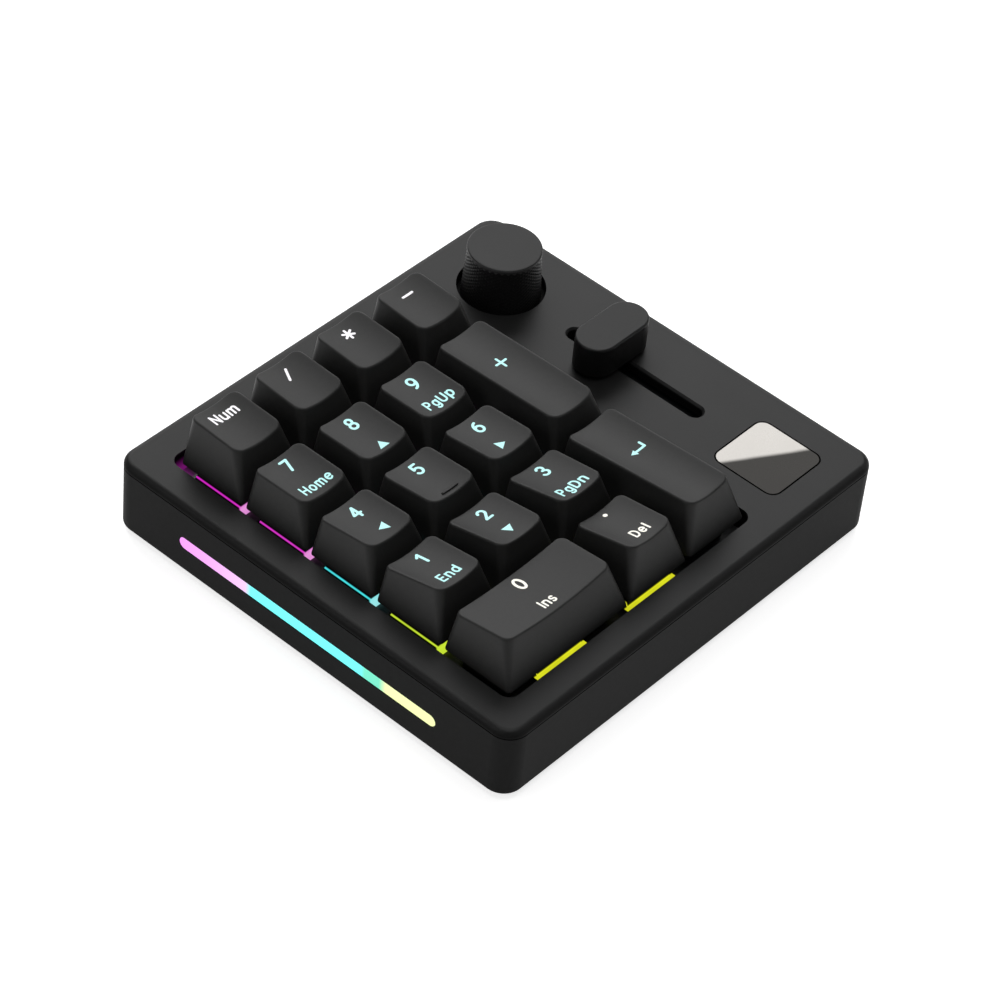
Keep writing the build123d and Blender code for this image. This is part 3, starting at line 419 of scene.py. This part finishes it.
def dress(paint, *nodes):
    """CAD nodes take a paint in every one of their material slots."""
    for name in nodes:
        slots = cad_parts[name].material_slots
        if not slots:
            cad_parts[name].data.materials.append(paint.material)
        for place in slots:
            place.material = paint.material


# ================================================================ surfaces
def skin(rings):
    """Closed surface through rings of equally many points, shape (rings, points, 3).

    Quads join each ring to the next, and a fan closes the first and the last ring at its mean point.
    """
    count, around = rings.shape[:2]
    points = np.vstack([rings.reshape(-1, 3), rings[0].mean(0)[None], rings[-1].mean(0)[None]])
    i = np.arange(around)
    j = (i + 1) % around
    step = (np.arange(count - 1) * around)[:, None]
    quads = np.stack([step + i, step + j, step + j + around, step + i + around], -1).reshape(-1, 4)
    first, last = count * around, count * around + 1
    top = (count - 1) * around
    fans = np.vstack([np.stack([j, i, np.full(around, first)], -1),
                      np.stack([top + i, top + j, np.full(around, last)], -1)])
    # six times the enclosed volume is the sum over triangles of a . (b x c); a negative one is inside out
    triangles = np.vstack([quads[:, :3], quads[:, [0, 2, 3]], fans])
    a, b, c = (points[triangles[:, k]] for k in range(3))
    if np.einsum("ij,ij->i", a - points.mean(0), np.cross(b - points.mean(0), c - points.mean(0))).sum() < 0:
        quads, fans = quads[:, ::-1], fans[:, ::-1]
    return points, quads.tolist() + fans.tolist()


def solid(name, skins, paint, body, replaces=(), crease=40):
    """One object from closed surfaces, riding on a body."""
    points, faces, start = [], [], 0
    for part, loops in skins:
        points.append(part)
        faces += [[v + start for v in loop] for loop in loops]
        start += len(part)
    mesh = bpy.data.meshes.new(name)
    mesh.from_pydata(np.vstack(points), [], faces)
    mesh.polygons.foreach_set("use_smooth", np.ones(len(faces), bool))
    mesh.set_sharp_from_angle(angle=radians(crease))
    mesh.materials.append(paint.material)
    mesh.update()
    piece = bpy.data.objects.new(name, mesh)
    bpy.context.scene.collection.objects.link(piece)
    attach(piece, body)
    if replaces:
        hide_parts(*replaces)


def frame_points(straight=14, bend=8):
    """Points round a rounded rectangle: for each, how far its corner centre lies from the low to the high
    side in x and y, and its outward direction."""
    s = np.linspace(0, 1, straight, endpoint=False)
    t = np.linspace(0, pi / 2, bend, endpoint=False)
    zero, one = np.zeros(straight), np.ones(straight)
    parts = []
    for quarter, (wx, wy) in enumerate([(one, s), (1 - s, one), (zero, 1 - s), (s, zero)]):
        angle = quarter * pi / 2
        parts.append(np.column_stack([wx, wy, np.full(straight, cos(angle)), np.full(straight, sin(angle))]))
        end = [(1, 1), (0, 1), (0, 0), (1, 0)][quarter]
        parts.append(np.column_stack([np.full(bend, end[0]), np.full(bend, end[1]),
                                      np.cos(angle + t), np.sin(angle + t)]))
    return np.vstack(parts)


class Crown:
    """A keycap's drafted sides and dished top, as functions of height and place."""

    def __init__(self, name, settings):
        low, high = (np.array(c)[:2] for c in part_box("keycap_" + name))
        units = np.rint((high - low) / PITCH)
        self.low, self.high = low, low + SKIRT_SIZE + PITCH * (units - 1)
        self.middle, self.size = (self.low + self.high) / 2, self.high - self.low
        self.wide, self.long = bool(units[0] > 1), bool(units[1] > 1)
        front_row, rear_row = KEYS[name]
        edges = (WIDE_FRONT, WIDE_REAR) if self.wide else (FRONTS[front_row], REARS[rear_row])
        (self.front, front_inset), (self.rear, rear_inset) = np.array(edges) * mm
        side_inset = (SKIRT_SIZE - CROWN_WIDTH) / 2
        lift = SKIRT - DECK
        self.side_draft = side_inset / ((self.front + self.rear) / 2 - lift)
        self.front_draft, self.rear_draft = front_inset / (self.front - lift), rear_inset / (self.rear - lift)
        self.front_edge, self.rear_edge = self.low[1] + front_inset, self.high[1] - rear_inset
        self.half = self.size[0] / 2 - side_inset
        self.dish = settings.bar_dish if self.wide else settings.dish
        self.tall = max(self.front, self.rear) + mm - lift
        self.crown_middle = np.array([self.middle[0], (self.front_edge + self.rear_edge) / 2])

    def height(self, x, y):
        """Top: a plane from the front edge's height to the rear edge's, less the arc of the dish across x."""
        slope = (self.rear - self.front) / (self.rear_edge - self.front_edge)
        plane = DECK + self.front + slope * (y - self.front_edge)
        across = np.minimum(np.abs(x - self.middle[0]), self.half * 1.3)  # held a little beyond the edges
        return plane + np.sqrt(self.dish ** 2 - self.half ** 2) - np.sqrt(self.dish ** 2 - across ** 2)

    def side(self, spots, h, inset=0.0):
        """Point of the side at height h above the skirt: a rounded rectangle whose sides lean in by their
        drafts and whose corner grows with height, moved in by inset."""
        low = np.stack([self.low[0] + self.side_draft * h, self.low[1] + self.front_draft * h], -1)
        high = np.stack([self.high[0] - self.side_draft * h, self.high[1] - self.rear_draft * h], -1)
        corner = (SKIRT_CORNER + (CROWN_CORNER - SKIRT_CORNER) * h / self.tall)[..., None]
        centre = low + corner + spots[:, :2] * (high - low - 2 * corner)
        return centre + spots[:, 2:] * (corner - inset)


def keycap(crown, settings):
    """Keycap, ring by ring: the hollow's roof and walls, the lip, the drafted flank, the rolled edge and the top.

    With A below the edge on the side, K where side and top would meet, and E inside the edge on the top, the
    rolled edge is the parabola (1 - t)^2 A + 2 t (1 - t) K + t^2 E. The roll is side_roll where the outward
    direction lies along x and front_roll where it lies along y. The top is the crown's height on shrinking rings.
    """
    spots = frame_points()
    count = len(spots)
    normal = spots[:, 2:]
    h = np.full(count, crown.tall)
    for _ in range(8):  # where the side meets the top
        edge = crown.side(spots, h)
        h = crown.height(edge[:, 0], edge[:, 1]) - SKIRT
    edge = crown.side(spots, h)
    share = normal[:, 0] ** 2
    roll = settings.side_roll * share + settings.front_roll * (1 - share)
    below = crown.side(spots, h - roll)
    start = np.column_stack([below, SKIRT + h - roll])
    knee = np.column_stack([edge, SKIRT + h])
    inner = edge - normal * roll[:, None]
    end = np.column_stack([inner, crown.height(inner[:, 0], inner[:, 1])])
    t = np.linspace(0, 1, 9)[:, None, None]
    rolled = (1 - t) ** 2 * start + 2 * t * (1 - t) * knee + t ** 2 * end

    def level(height, inset=0.0):
        return np.column_stack([crown.side(spots, np.full(count, height), inset), np.full(count, SKIRT + height)])

    hollow_corner = 0.35 * mm
    walls_in = []
    for height in (CEILING - SKIRT, 0.12 * mm, 0.0):
        low = crown.low + settings.wall + np.array([crown.side_draft, crown.front_draft]) * height
        high = crown.high - settings.wall - np.array([crown.side_draft, crown.rear_draft]) * height
        place = low + hollow_corner + spots[:, :2] * (high - low - 2 * hollow_corner) + normal * hollow_corner
        walls_in.append(np.column_stack([place, np.full(count, SKIRT + height)]))
    roof = walls_in[0]
    roof_middle = roof.mean(0)
    shrink = np.linspace(0.25, 0.999, 3)[:, None, None]
    roof_rings = roof_middle + (roof - roof_middle) * shrink
    lip = [level(0.0, 0.12 * mm), level(0.05 * mm, 0.02 * mm), level(0.16 * mm)]
    up = np.linspace(0.05, 0.95, 5)[:, None, None]
    flank = lip[-1] + (start - lip[-1]) * up
    shrink = np.linspace(1, 0.04, 15)[1:, None, None]
    flat = crown.crown_middle + (inner - crown.crown_middle) * shrink
    top = np.concatenate([flat, crown.height(flat[..., 0], flat[..., 1])[..., None]], -1)
    rings = np.concatenate([roof_rings, np.array(walls_in), np.array(lip), flank, rolled, top])
    return skin(rings)


def socket_boss(x, y):
    """Round boss with a cross-shaped bore: circle and cross share the same angles round the middle."""
    reach, half_x, half_y, boss_radius, bore_depth = 2.03 * mm, 0.58 * mm, 0.68 * mm, 2.75 * mm, 3.63 * mm
    a, b, c = reach, half_y, half_x
    corners = np.array([(a, -b), (a, b), (c, b), (c, a), (-c, a), (-c, b),
                        (-a, b), (-a, -b), (-c, -b), (-c, -a), (c, -a), (c, -b)])
    s = np.linspace(0, 1, 4, endpoint=False)[:, None]
    cross = (corners[:, None] + (np.roll(corners, -1, 0) - corners)[:, None] * s).reshape(-1, 2)
    angle = np.arctan2(cross[:, 1], cross[:, 0])
    circle = boss_radius * np.column_stack([np.cos(angle), np.sin(angle)])
    levels = [(circle, CEILING + 0.3 * mm), (circle, SOCKET + 0.2 * mm), (circle * 0.95, SOCKET),
              (cross, SOCKET), (cross, SOCKET + bore_depth)]
    return skin(np.array([np.column_stack([ring + (x, y), np.full(len(ring), z)]) for ring, z in levels]))


def band(path, half, height, lift, sink, bulge=0.0, round_ends=True):
    """Strip along a path laid on a surface: each point moves sideways by u half widths, u from -1 to 1, and
    rises by lift + bulge (1 - u^4). Past its ends the half width falls as a semicircle. Its underside lies
    sink below the surface."""
    path = np.asarray(path, float)
    half = np.broadcast_to(np.asarray(half, float), len(path))
    along = np.gradient(path, axis=0)
    along /= np.linalg.norm(along, axis=1)[:, None]
    if round_ends and np.linalg.norm(path[0] - path[-1]) > half[0] * 0.05:
        t = np.linspace(pi / 2 - 0.08, 0, 6, endpoint=False)
        head = path[0] - along[0] * (half[0] * np.sin(t))[:, None]
        tail = (path[-1] + along[-1] * (half[-1] * np.sin(t))[:, None])[::-1]
        path = np.vstack([head, path, tail])
        half = np.concatenate([half[0] * np.cos(t), half, (half[-1] * np.cos(t))[::-1]])
        along = np.vstack([np.repeat(along[:1], 6, 0), along, np.repeat(along[-1:], 6, 0)])
    beside = np.column_stack([-along[:, 1], along[:, 0]])
    u = np.array([-1.0, -0.6, 0.0, 0.6, 1.0]) if bulge else np.array([-1.0, 0.0, 1.0])
    flat = path[:, None] + beside[:, None] * (half[:, None] * u)[..., None]
    level = height(flat[..., 0], flat[..., 1])
    rise = lift + bulge * (1 - u ** 4) * (half / half.max())[:, None]
    upper = np.concatenate([flat, (level + rise)[..., None]], -1)
    lower = np.concatenate([flat, (level - sink)[..., None]], -1)[:, ::-1]
    return skin(np.concatenate([upper, lower], 1))


def densely(a, b, step):
    """Points on a straight line, about one for each step."""
    count = max(3, int(np.linalg.norm(np.subtract(b, a)) / step) + 1)
    return np.linspace(a, b, count)


def legend_bands(crown, settings, what, x, y, tall):
    """The strokes of a word or a sign, laid on the crown about (x, y)."""
    stroke = settings.stroke * (tall / WORD_HEIGHT if tall else SIGN_STROKE)
    sink = 0.05 * mm
    origin = crown.middle + np.array([x, y]) * mm
    laid = []
    if what in SIGNS:
        for a, b, half in SIGNS[what]:
            path = densely(np.array(a) * mm, np.array(b) * mm, 0.6 * mm) + origin
            if isinstance(half, tuple):
                width = np.linspace(half[0], half[1], len(path)) * mm
                laid.append(band(path, width, crown.height, settings.lift, sink, round_ends=False))
            else:
                width = half * mm if half else stroke / 2
                laid.append(band(path, width, crown.height, settings.lift, sink))
        return laid
    scale = tall * mm - stroke
    letters = [LETTERS[c] for c in what]
    gap = settings.spacing if len(letters) > 1 else 0.0
    width = sum(w for w, _ in letters) + gap * (len(letters) - 1)
    pen = -width / 2
    for w, strokes in letters:
        for path in strokes:
            place = (path + (pen, -0.5)) * scale + origin
            if len(place) == 2:
                place = densely(place[0], place[1], 0.5 * mm)
            laid.append(band(place, stroke / 2, crown.height, settings.lift, sink))
        pen += w + gap
    return laid


def turned_knob(settings):
    """Knob as a profile turned about its axis, with pyramids on its flank.

    With a and b = N angle / 2 pi plus and minus z / pitch, for N diamonds, and tooth(v) twice the distance of
    v's fraction from a half, a point of the flank stands out by depth (1 - max(tooth a, tooth b)).
    """
    low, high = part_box("knob")
    middle = np.array([(low.x + high.x) / 2, (low.y + high.y) / 2])
    top, base = high.z, low.z
    axis, head_radius, neck_radius, foot_radius = 0.4 * mm, 8.55 * mm, 8.3 * mm, 9.15 * mm
    hollow_radius, boss_radius, bore_radius = 7.6 * mm, 4.9 * mm, 3.05 * mm
    hollow_roof, boss_low, bore_roof = top - 4.2 * mm, DECK + 1.3 * mm, DECK + 8.3 * mm
    head_round, bevel, run_out = 0.35 * mm, 0.1 * mm, 0.3 * mm
    head_low = top - 0.6 * mm
    flank_top, flank_low = head_low - 0.2 * mm, base + run_out

    around = settings.diamonds * 12
    angle = np.arange(around) * 2 * pi / around
    z = np.arange(flank_top, flank_low, -settings.pitch / 10)
    radius = neck_radius + (foot_radius - neck_radius) * (flank_top - z) / (flank_top - base)
    turn = angle[None] * settings.diamonds / (2 * pi)

    def tooth(phase):
        return np.abs(phase % 1.0 - 0.5) * 2

    a, b = tooth(turn + z[:, None] / settings.pitch), tooth(turn - z[:, None] / settings.pitch)
    fade = np.clip(np.minimum(flank_top - z, z - flank_low) / run_out, 0, 1)[:, None]
    knurl = radius[:, None] + settings.depth * (1 - np.maximum(a, b)) * fade
    above = [(axis, top), (3 * mm, top), (6 * mm, top), (head_radius - head_round - 0.4 * mm, top)]
    above += [(head_radius - head_round + head_round * sin(t), top - head_round + head_round * cos(t))
              for t in np.linspace(0, pi / 2, 6)]
    above += [(head_radius, head_low + bevel / 2), (head_radius - bevel / 2, head_low),
              (neck_radius, flank_top + 0.03 * mm)]
    below = [(foot_radius, flank_low - bevel), (foot_radius - bevel, base),
             (hollow_radius + bevel, base), (hollow_radius, base + bevel),
             (hollow_radius, hollow_roof), (boss_radius, hollow_roof),
             (boss_radius, boss_low + 2 * bevel), (boss_radius - 2 * bevel, boss_low),
             (bore_radius, boss_low), (bore_radius, bore_roof), (axis, bore_roof)]

    def turned(radius, z):
        radius = np.broadcast_to(radius, around)
        return np.column_stack([middle[0] + radius * np.cos(angle), middle[1] + radius * np.sin(angle),
                                np.full(around, z)])

    rings = [turned(r, level) for r, level in above]
    rings += [turned(r, level) for r, level in zip(knurl, z)]
    rings += [turned(r, level) for r, level in below]
    return skin(np.array(rings))


# ================================================================ pieces
class KEYPAD_OT_case(bpy.types.Operator):
    """Finishes of the deck, the case, the feet and the screws"""
    bl_idname = "keypad.case"
    bl_label = "Case"

    def execute(self, context):
        finish = context.scene.keypad_finish
        walls = moulded("case moulding", tuple(finish.case), 0.5, grain=0.2 * mm, depth=0.006 * mm, specular=0.03)
        deck = moulded("deck moulding", tuple(finish.case), 0.42, grain=0.2 * mm, depth=0.006 * mm, specular=0.03)
        # coloured light falls on the rear left corner of the window
        corner = deck.between(deck.z, 14.5 * mm, 18.5 * mm, 1.0, 0.0) * deck.between(deck.y, 45.5 * mm, 47.5 * mm)
        corner = corner * deck.between(deck.x, -47 * mm, -43 * mm, 1.0, 0.0)
        # painted shade: the rolled edge above the parting groove is darker, and the deck is glossier than the
        # walls
        painted_rim_shade = deck.between(deck.z, 17.6 * mm, 17.8 * mm) * deck.between(deck.z, 18.6 * mm, 19.2 * mm, 1.0, 0.0)
        deck.wear(Base_Color=deck.mix(painted_rim_shade, tuple(finish.case), times(finish.case, 0.4)),
                  Emission_Color=deck.mix(corner, BLACK, (0.15, 0.007, 0.13)), Emission_Strength=1.0)
        deck.glaze(deck.between(deck.z, 19.0 * mm, 19.8 * mm), 0.25)
        dress(deck, "top_frame")
        dress(walls, "bottom_case")
        rubber = moulded("foot rubber", (0.02, 0.02, 0.021), 0.8, grain=0.35 * mm, depth=0.02 * mm, mottle=0.25,
                         specular=0.3)
        dress(rubber, "foot_pads")
        dress(brushed("screw steel", (0.32, 0.32, 0.33), 0.35, stretch=(6.0, 6.0, 1.0)), "case_screws")
        return {"FINISHED"}


class KEYPAD_OT_lights(bpy.types.Operator):
    """Light strips in the side walls, and the lit housings between the keys"""
    bl_idname = "keypad.lights"
    bl_label = "Coloured light"

    def execute(self, context):
        light = context.scene.keypad_light
        strip = Paint("strip diffuser", Roughness=0.5, Emission_Strength=light.strip, Specular_IOR_Level=0.2)
        grain = strip.noise(1.2 * mm)
        place = strip.evenly(strip.y, -37.2 * mm, 37.2 * mm) + (grain - 0.5) * 0.004
        strip.wear(Emission_Color=strip.ramp(place, STRIP_COLOURS),
                   Base_Color=strip.mix(grain, (0.09, 0.09, 0.09), (0.13, 0.13, 0.13)))
        dress(strip, "light_strips")
        # the housings are lit from below: a thin belt above their flange shows through the gap round the caps
        housing = Paint("lit housing", Roughness=0.3, Emission_Strength=light.glow)
        hue = housing.ramp(housing.evenly(housing.y, FIELD_FRONT, FIELD_REAR), GLOW_COLOURS)
        # ahead of a housing the light reaches down to the plate and is paler from the third row on, but in the
        # front row it stays a belt, a little lower than the rest
        cell = housing.sum("MODULO", housing.y + (PITCH - FIELD_FRONT), PITCH)
        ahead = housing.between(cell, 2.6 * mm, 3.4 * mm, 1.0, 0.0)
        paler = ahead * housing.between(housing.y, -24 * mm, -12 * mm) * 0.3
        front_row = housing.between(housing.y, -31 * mm, -30 * mm, 1.0, 0.0)
        low = housing.sum("MAXIMUM", housing.between(housing.z + ahead * 0.5 * mm, 15.4 * mm, 15.65 * mm),
                          ahead - front_row)
        belt = low * housing.between(housing.z + front_row * ahead * 0.6 * mm, 15.8 * mm, 16.1 * mm, 1.0, 0.0)
        dusk = housing.noise(3 * mm)
        housing.wear(Emission_Color=housing.mix(belt * (1.1 - dusk * 0.4), BLACK,
                                                housing.mix(paler, hue, (1.0, 0.95, 1.0))),
                     Base_Color=housing.mix(dusk, (0.02, 0.02, 0.021), (0.03, 0.03, 0.031)))
        dress(housing, "upper_housings")
        return {"FINISHED"}


class KEYPAD_OT_switches(bpy.types.Operator):
    """Finishes of the switch plate, the board and what they carry"""
    bl_idname = "keypad.switches"
    bl_label = "Switches and board"

    def execute(self, context):
        plate = brushed("plate steel", (0.015, 0.015, 0.016), 0.5, metallic=0.0)
        # coloured light falls on its rear left corner
        corner = plate.between(plate.y, 42 * mm, 46 * mm) * plate.between(plate.x, -49 * mm, -46 * mm, 1.0, 0.0)
        plate.wear(Emission_Color=plate.mix(corner, BLACK, (0.13, 0.006, 0.115)), Emission_Strength=1.0)
        dress(plate, "switch_plate")
        dress(moulded("plate foam", (0.03, 0.03, 0.03), 0.95, grain=0.5 * mm, depth=0.15 * mm, mottle=0.4),
              "plate_foam")
        board = Paint("board lacquer")
        weave = board.noise(0.5 * mm, detail=1.0, stretch=(1.0, 0.4, 1.0))
        tracks = abs(board.noise(3.2 * mm, detail=0.0, stretch=(1.0, 0.25, 1.0)) - 0.5) * 14
        board.wear(Base_Color=board.mix(board.between(tracks, 0.2, 0.35), (0.03, 0.034, 0.036),
                                        (0.008, 0.009, 0.01)),
                   Roughness=weave * 0.1 + 0.3)
        board.bump(board.between(tracks, 0.2, 0.35, 1.0, 0.0), 0.03 * mm)
        dress(board, "circuit_board")
        dress(moulded("socket plastic", (0.03, 0.03, 0.03), 0.5), "switch_sockets", "lower_housings")
        dress(moulded("guide plastic", (0.02, 0.02, 0.02), 0.4), "stabiliser_guides")
        dress(moulded("stem plastic", (0.22, 0.10, 0.05), 0.35, mottle=0.06), *["stem_" + k for k in KEYS])
        dress(brushed("cell foil", (0.60, 0.61, 0.62), 0.35, stretch=(0.5, 0.5, 0.5), depth=0.08 * mm), "battery")
        return {"FINISHED"}


class KEYPAD_OT_keycaps(bpy.types.Operator):
    """Seventeen hollow keycaps with drafted sides and dished crowns"""
    bl_idname = "keypad.keycaps"
    bl_label = "Keycaps"

    def execute(self, context):
        settings = context.scene.keypad_caps
        paint = moulded("keycap moulding", tuple(context.scene.keypad_finish.caps), 0.50, grain=0.16 * mm,
                        depth=0.007 * mm, specular=0.33)
        for name in KEYS:
            crown = Crown(name, settings)
            skins = [keycap(crown, settings)]
            x, y = crown.middle
            places = [0, -STAB_REACH, STAB_REACH] if crown.wide or crown.long else [0]
            skins += [socket_boss(x + d * crown.wide, y + d * crown.long) for d in places]
            if name == "five":
                bar_y = crown.front_edge + settings.bar_inset
                reach = settings.bar_length / 2 - 0.3 * mm
                path = densely((x - reach, bar_y), (x + reach, bar_y), 0.4 * mm)
                skins.append(band(path, 0.36 * mm, crown.height, lift=0.0, sink=0.1 * mm, bulge=0.36 * mm))
            solid("cap_" + name, skins, paint, "key_" + name, replaces=["keycap_" + name], crease=50)
        return {"FINISHED"}


class KEYPAD_OT_legends(bpy.types.Operator):
    """Lit numbers, words and signs on the keycaps"""
    bl_idname = "keypad.legends"
    bl_label = "Legends"

    def execute(self, context):
        settings = context.scene.keypad_legends
        paints = {}
        for name, legends in LEGENDS.items():
            crown = Crown(name, context.scene.keypad_caps)
            for number, (what, x, y, tall, tint) in enumerate(legends):
                if tint not in paints:
                    paint = Paint("legend light %d" % (len(paints) + 1), Roughness=0.4,
                                  Emission_Strength=settings.glow)
                    cloud = paint.noise(0.6 * mm)
                    paint.wear(Emission_Color=paint.mix(cloud, times(tint, 0.92), tint),
                               Base_Color=paint.mix(cloud, (0.16, 0.16, 0.16), (0.22, 0.22, 0.22)))
                    paints[tint] = paint
                solid("legend_%s_%d" % (name, number + 1), legend_bands(crown, settings, what, x, y, tall),
                      paints[tint], "key_" + name, crease=60)
        return {"FINISHED"}


class KEYPAD_OT_knob(bpy.types.Operator):
    """Knurled knob and the encoder under it"""
    bl_idname = "keypad.knob"
    bl_label = "Knob"

    def execute(self, context):
        colour = tuple(context.scene.keypad_finish.controls)
        paint = moulded("knob finish", colour, 0.42, grain=0.15 * mm, depth=0.005 * mm, specular=0.25)
        # painted highlight: the head's turned edge is lighter, down to the tips of the knurl
        low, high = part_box("knob")
        angle = paint.sum("ARCTAN2", paint.y - (low.y + high.y) / 2, paint.x - (low.x + high.x) / 2)
        tip = paint.sum("PINGPONG", angle * (context.scene.keypad_knob.diamonds / pi), 1.0)
        painted_edge_highlight = paint.between(paint.z - tip * 0.35 * mm, high.z - 1.4 * mm, high.z - 1.1 * mm)
        painted_edge_highlight = painted_edge_highlight * paint.between(paint.z, high.z - 0.2 * mm, high.z - 0.06 * mm, 1.0, 0.0)
        paint.wear(Base_Color=paint.mix(painted_edge_highlight, colour, times(colour, 5.0)))
        solid("turned_knob", [turned_knob(context.scene.keypad_knob)], paint, "knob",
              replaces=["knob"], crease=35)
        dress(brushed("encoder metal", (0.55, 0.55, 0.54), 0.3), "encoder_bush", "encoder_nut", "encoder_shaft",
              "encoder_plunger")
        dress(moulded("encoder case", (0.03, 0.03, 0.03), 0.45), "encoder_body")
        return {"FINISHED"}


class KEYPAD_OT_slider(bpy.types.Operator):
    """Slider cap, its lever and the slide control"""
    bl_idname = "keypad.slider"
    bl_label = "Slider"

    def execute(self, context):
        colour = tuple(context.scene.keypad_finish.controls)
        dress(moulded("slider moulding", colour, 0.42, grain=0.2 * mm, depth=0.006 * mm, specular=0.25),
              "slider_cap")
        dress(brushed("lever steel", (0.5, 0.5, 0.5), 0.35, stretch=(6.0, 6.0, 1.0)), "slider_lever")
        dress(brushed("slide control can", (0.05, 0.05, 0.052), 0.45, stretch=(18.0, 1.0, 18.0)), "slide_pot")
        return {"FINISHED"}


class KEYPAD_OT_tile(bpy.types.Operator):
    """Polished metal tile, bare"""
    bl_idname = "keypad.tile"
    bl_label = "Tile"

    def execute(self, context):
        colour = tuple(context.scene.keypad_finish.tile)
        paint = Paint("tile polish", Metallic=1.0)
        faint = paint.noise(0.5 * mm, detail=3.0, stretch=(1.0, 12.0, 1.0))
        haze = paint.noise(9 * mm, detail=3.0)
        # painted reflection: a bright rear half and a dark front half, with a soft wavy line between them
        along = (paint.x - TILE_MIDDLE[0]) * 0.62 + paint.y - TILE_MIDDLE[1]
        wave = paint.noise(7 * mm, detail=1.0)
        shade = paint.between(along + (wave - 0.5) * 1.2 * mm, 0.1 * mm, 1.7 * mm)
        paint.wear(Base_Color=paint.mix(shade, times(colour, 0.085), colour),
                   Roughness=(faint - 0.5) * 0.06 + (haze - 0.5) * 0.06 + 0.28)
        paint.bump(faint, 0.0008 * mm)
        dress(paint, "mirror_tile")
        return {"FINISHED"}


class KEYPAD_OT_rear(bpy.types.Operator):
    """Port and mode switch in the rear wall"""
    bl_idname = "keypad.rear"
    bl_label = "Rear fittings"

    def execute(self, context):
        dress(brushed("port shell", (0.62, 0.62, 0.63), 0.28, stretch=(1.0, 10.0, 10.0)), "usb_c_port")
        dress(moulded("mode switch", (0.03, 0.03, 0.03), 0.45), "mode_switch_body", "mode_switch_knob")
        return {"FINISHED"}


class KEYPAD_OT_stage(bpy.types.Operator):
    """Pale floor, soft lamps and the camera"""
    bl_idname = "keypad.stage"
    bl_label = "Stage"

    def execute(self, context):
        settings = context.scene.keypad_stage
        scene = context.scene
        scene.view_settings.view_transform = "Standard"
        scene.view_settings.look = "None"
        cells, reach, below = 8, 2.5, 0.05 * mm
        x, y = (g.ravel() for g in np.meshgrid(*[np.linspace(-reach, reach, cells + 1)] * 2))
        i = (np.arange(cells)[:, None] * (cells + 1) + np.arange(cells)).ravel()
        mesh = bpy.data.meshes.new("floor")
        mesh.from_pydata(np.column_stack([x, y, np.full(len(x), -below)]), [],
                         np.column_stack([i, i + 1, i + cells + 2, i + cells + 1]).tolist())
        paint = Paint("floor paper", Roughness=0.9, Specular_IOR_Level=0.2, Emission_Strength=settings.floor)
        paper = paint.noise(2 * mm, detail=3.0)
        out = paint.sum("SQRT", paint.x * paint.x + paint.y * paint.y)
        paint.wear(Base_Color=paint.mix(paper, (0.90, 0.90, 0.90), (0.94, 0.94, 0.94)),
                   Emission_Color=paint.mix(paint.between(out, 0.2, 0.5), (1.0, 1.0, 1.0), (0.3, 0.3, 0.3)))
        mesh.materials.append(paint.material)
        floor = bpy.data.objects.new("floor", mesh)
        scene.collection.objects.link(floor)

        for name, (place, size) in LAMPS.items():
            data = bpy.data.lights.new(name + " lamp", "AREA")
            data.shape, data.size, data.size_y = "RECTANGLE", *size
            data.energy = getattr(settings, name)
            lamp = bpy.data.objects.new(name + " lamp", data)
            scene.collection.objects.link(lamp)
            lamp.location = place
            lamp.rotation_euler = (LAMP_TARGET - Vector(place)).to_track_quat("-Z", "Y").to_euler()

        world = bpy.data.worlds.new("room")
        scene.world = world
        world.use_nodes = True
        back = next(n for n in world.node_tree.nodes if n.type == "BACKGROUND")
        back.inputs["Color"].default_value = (1, 1, 1, 1)
        back.inputs["Strength"].default_value = settings.room

        camera = bpy.data.cameras.new("camera")
        camera.sensor_width, camera.lens = 36.0, CAMERA_LENS
        camera.clip_start, camera.clip_end = 0.05, 20.0
        eye = bpy.data.objects.new("camera", camera)
        scene.collection.objects.link(eye)
        right, up, ahead = (Vector(axis) for axis in CAMERA_AXES)
        turn = Matrix((right, up, -ahead)).transposed()
        eye.matrix_world = Matrix.Translation(CAMERA_PLACE * mm) @ turn.to_4x4()
        scene.camera = eye
        return {"FINISHED"}


OPERATORS = (KEYPAD_OT_case, KEYPAD_OT_lights, KEYPAD_OT_switches, KEYPAD_OT_keycaps, KEYPAD_OT_legends,
             KEYPAD_OT_knob, KEYPAD_OT_slider, KEYPAD_OT_tile, KEYPAD_OT_rear, KEYPAD_OT_stage)
SETTINGS = {"keypad_caps": KeycapSettings, "keypad_legends": LegendSettings, "keypad_knob": KnobSettings,
            "keypad_finish": FinishSettings, "keypad_light": LightSettings, "keypad_stage": StageSettings}


class KEYPAD_PT_panel(bpy.types.Panel):
    """The pieces of the keypad, in order"""
    bl_idname = "KEYPAD_PT_panel"
    bl_label = "Keypad"
    bl_space_type = "VIEW_3D"
    bl_region_type = "UI"
    bl_category = "Keypad"

    def draw(self, context):
        for operator in OPERATORS:
            self.layout.operator(operator.bl_idname)
        for name in SETTINGS:
            box = self.layout.box()
            group = getattr(context.scene, name)
            for key in group.__annotations__:
                box.prop(group, key)


def register():
    """Settings, operators and panel, known to Blender."""
    for group in SETTINGS.values():
        bpy.utils.register_class(group)
    for name, group in SETTINGS.items():
        setattr(bpy.types.Scene, name, PointerProperty(type=group))
    for operator in OPERATORS:
        bpy.utils.register_class(operator)
    bpy.utils.register_class(KEYPAD_PT_panel)


def unregister():
    """Panel, operators and settings, taken away again."""
    bpy.utils.unregister_class(KEYPAD_PT_panel)
    for operator in reversed(OPERATORS):
        bpy.utils.unregister_class(operator)
    for name, group in SETTINGS.items():
        delattr(bpy.types.Scene, name)
        bpy.utils.unregister_class(group)


def main():
    """Every piece in order."""
    register()
    for operator in OPERATORS:
        getattr(bpy.ops.keypad, operator.bl_idname.split(".")[1])()


if __name__ == "__main__":
    main()
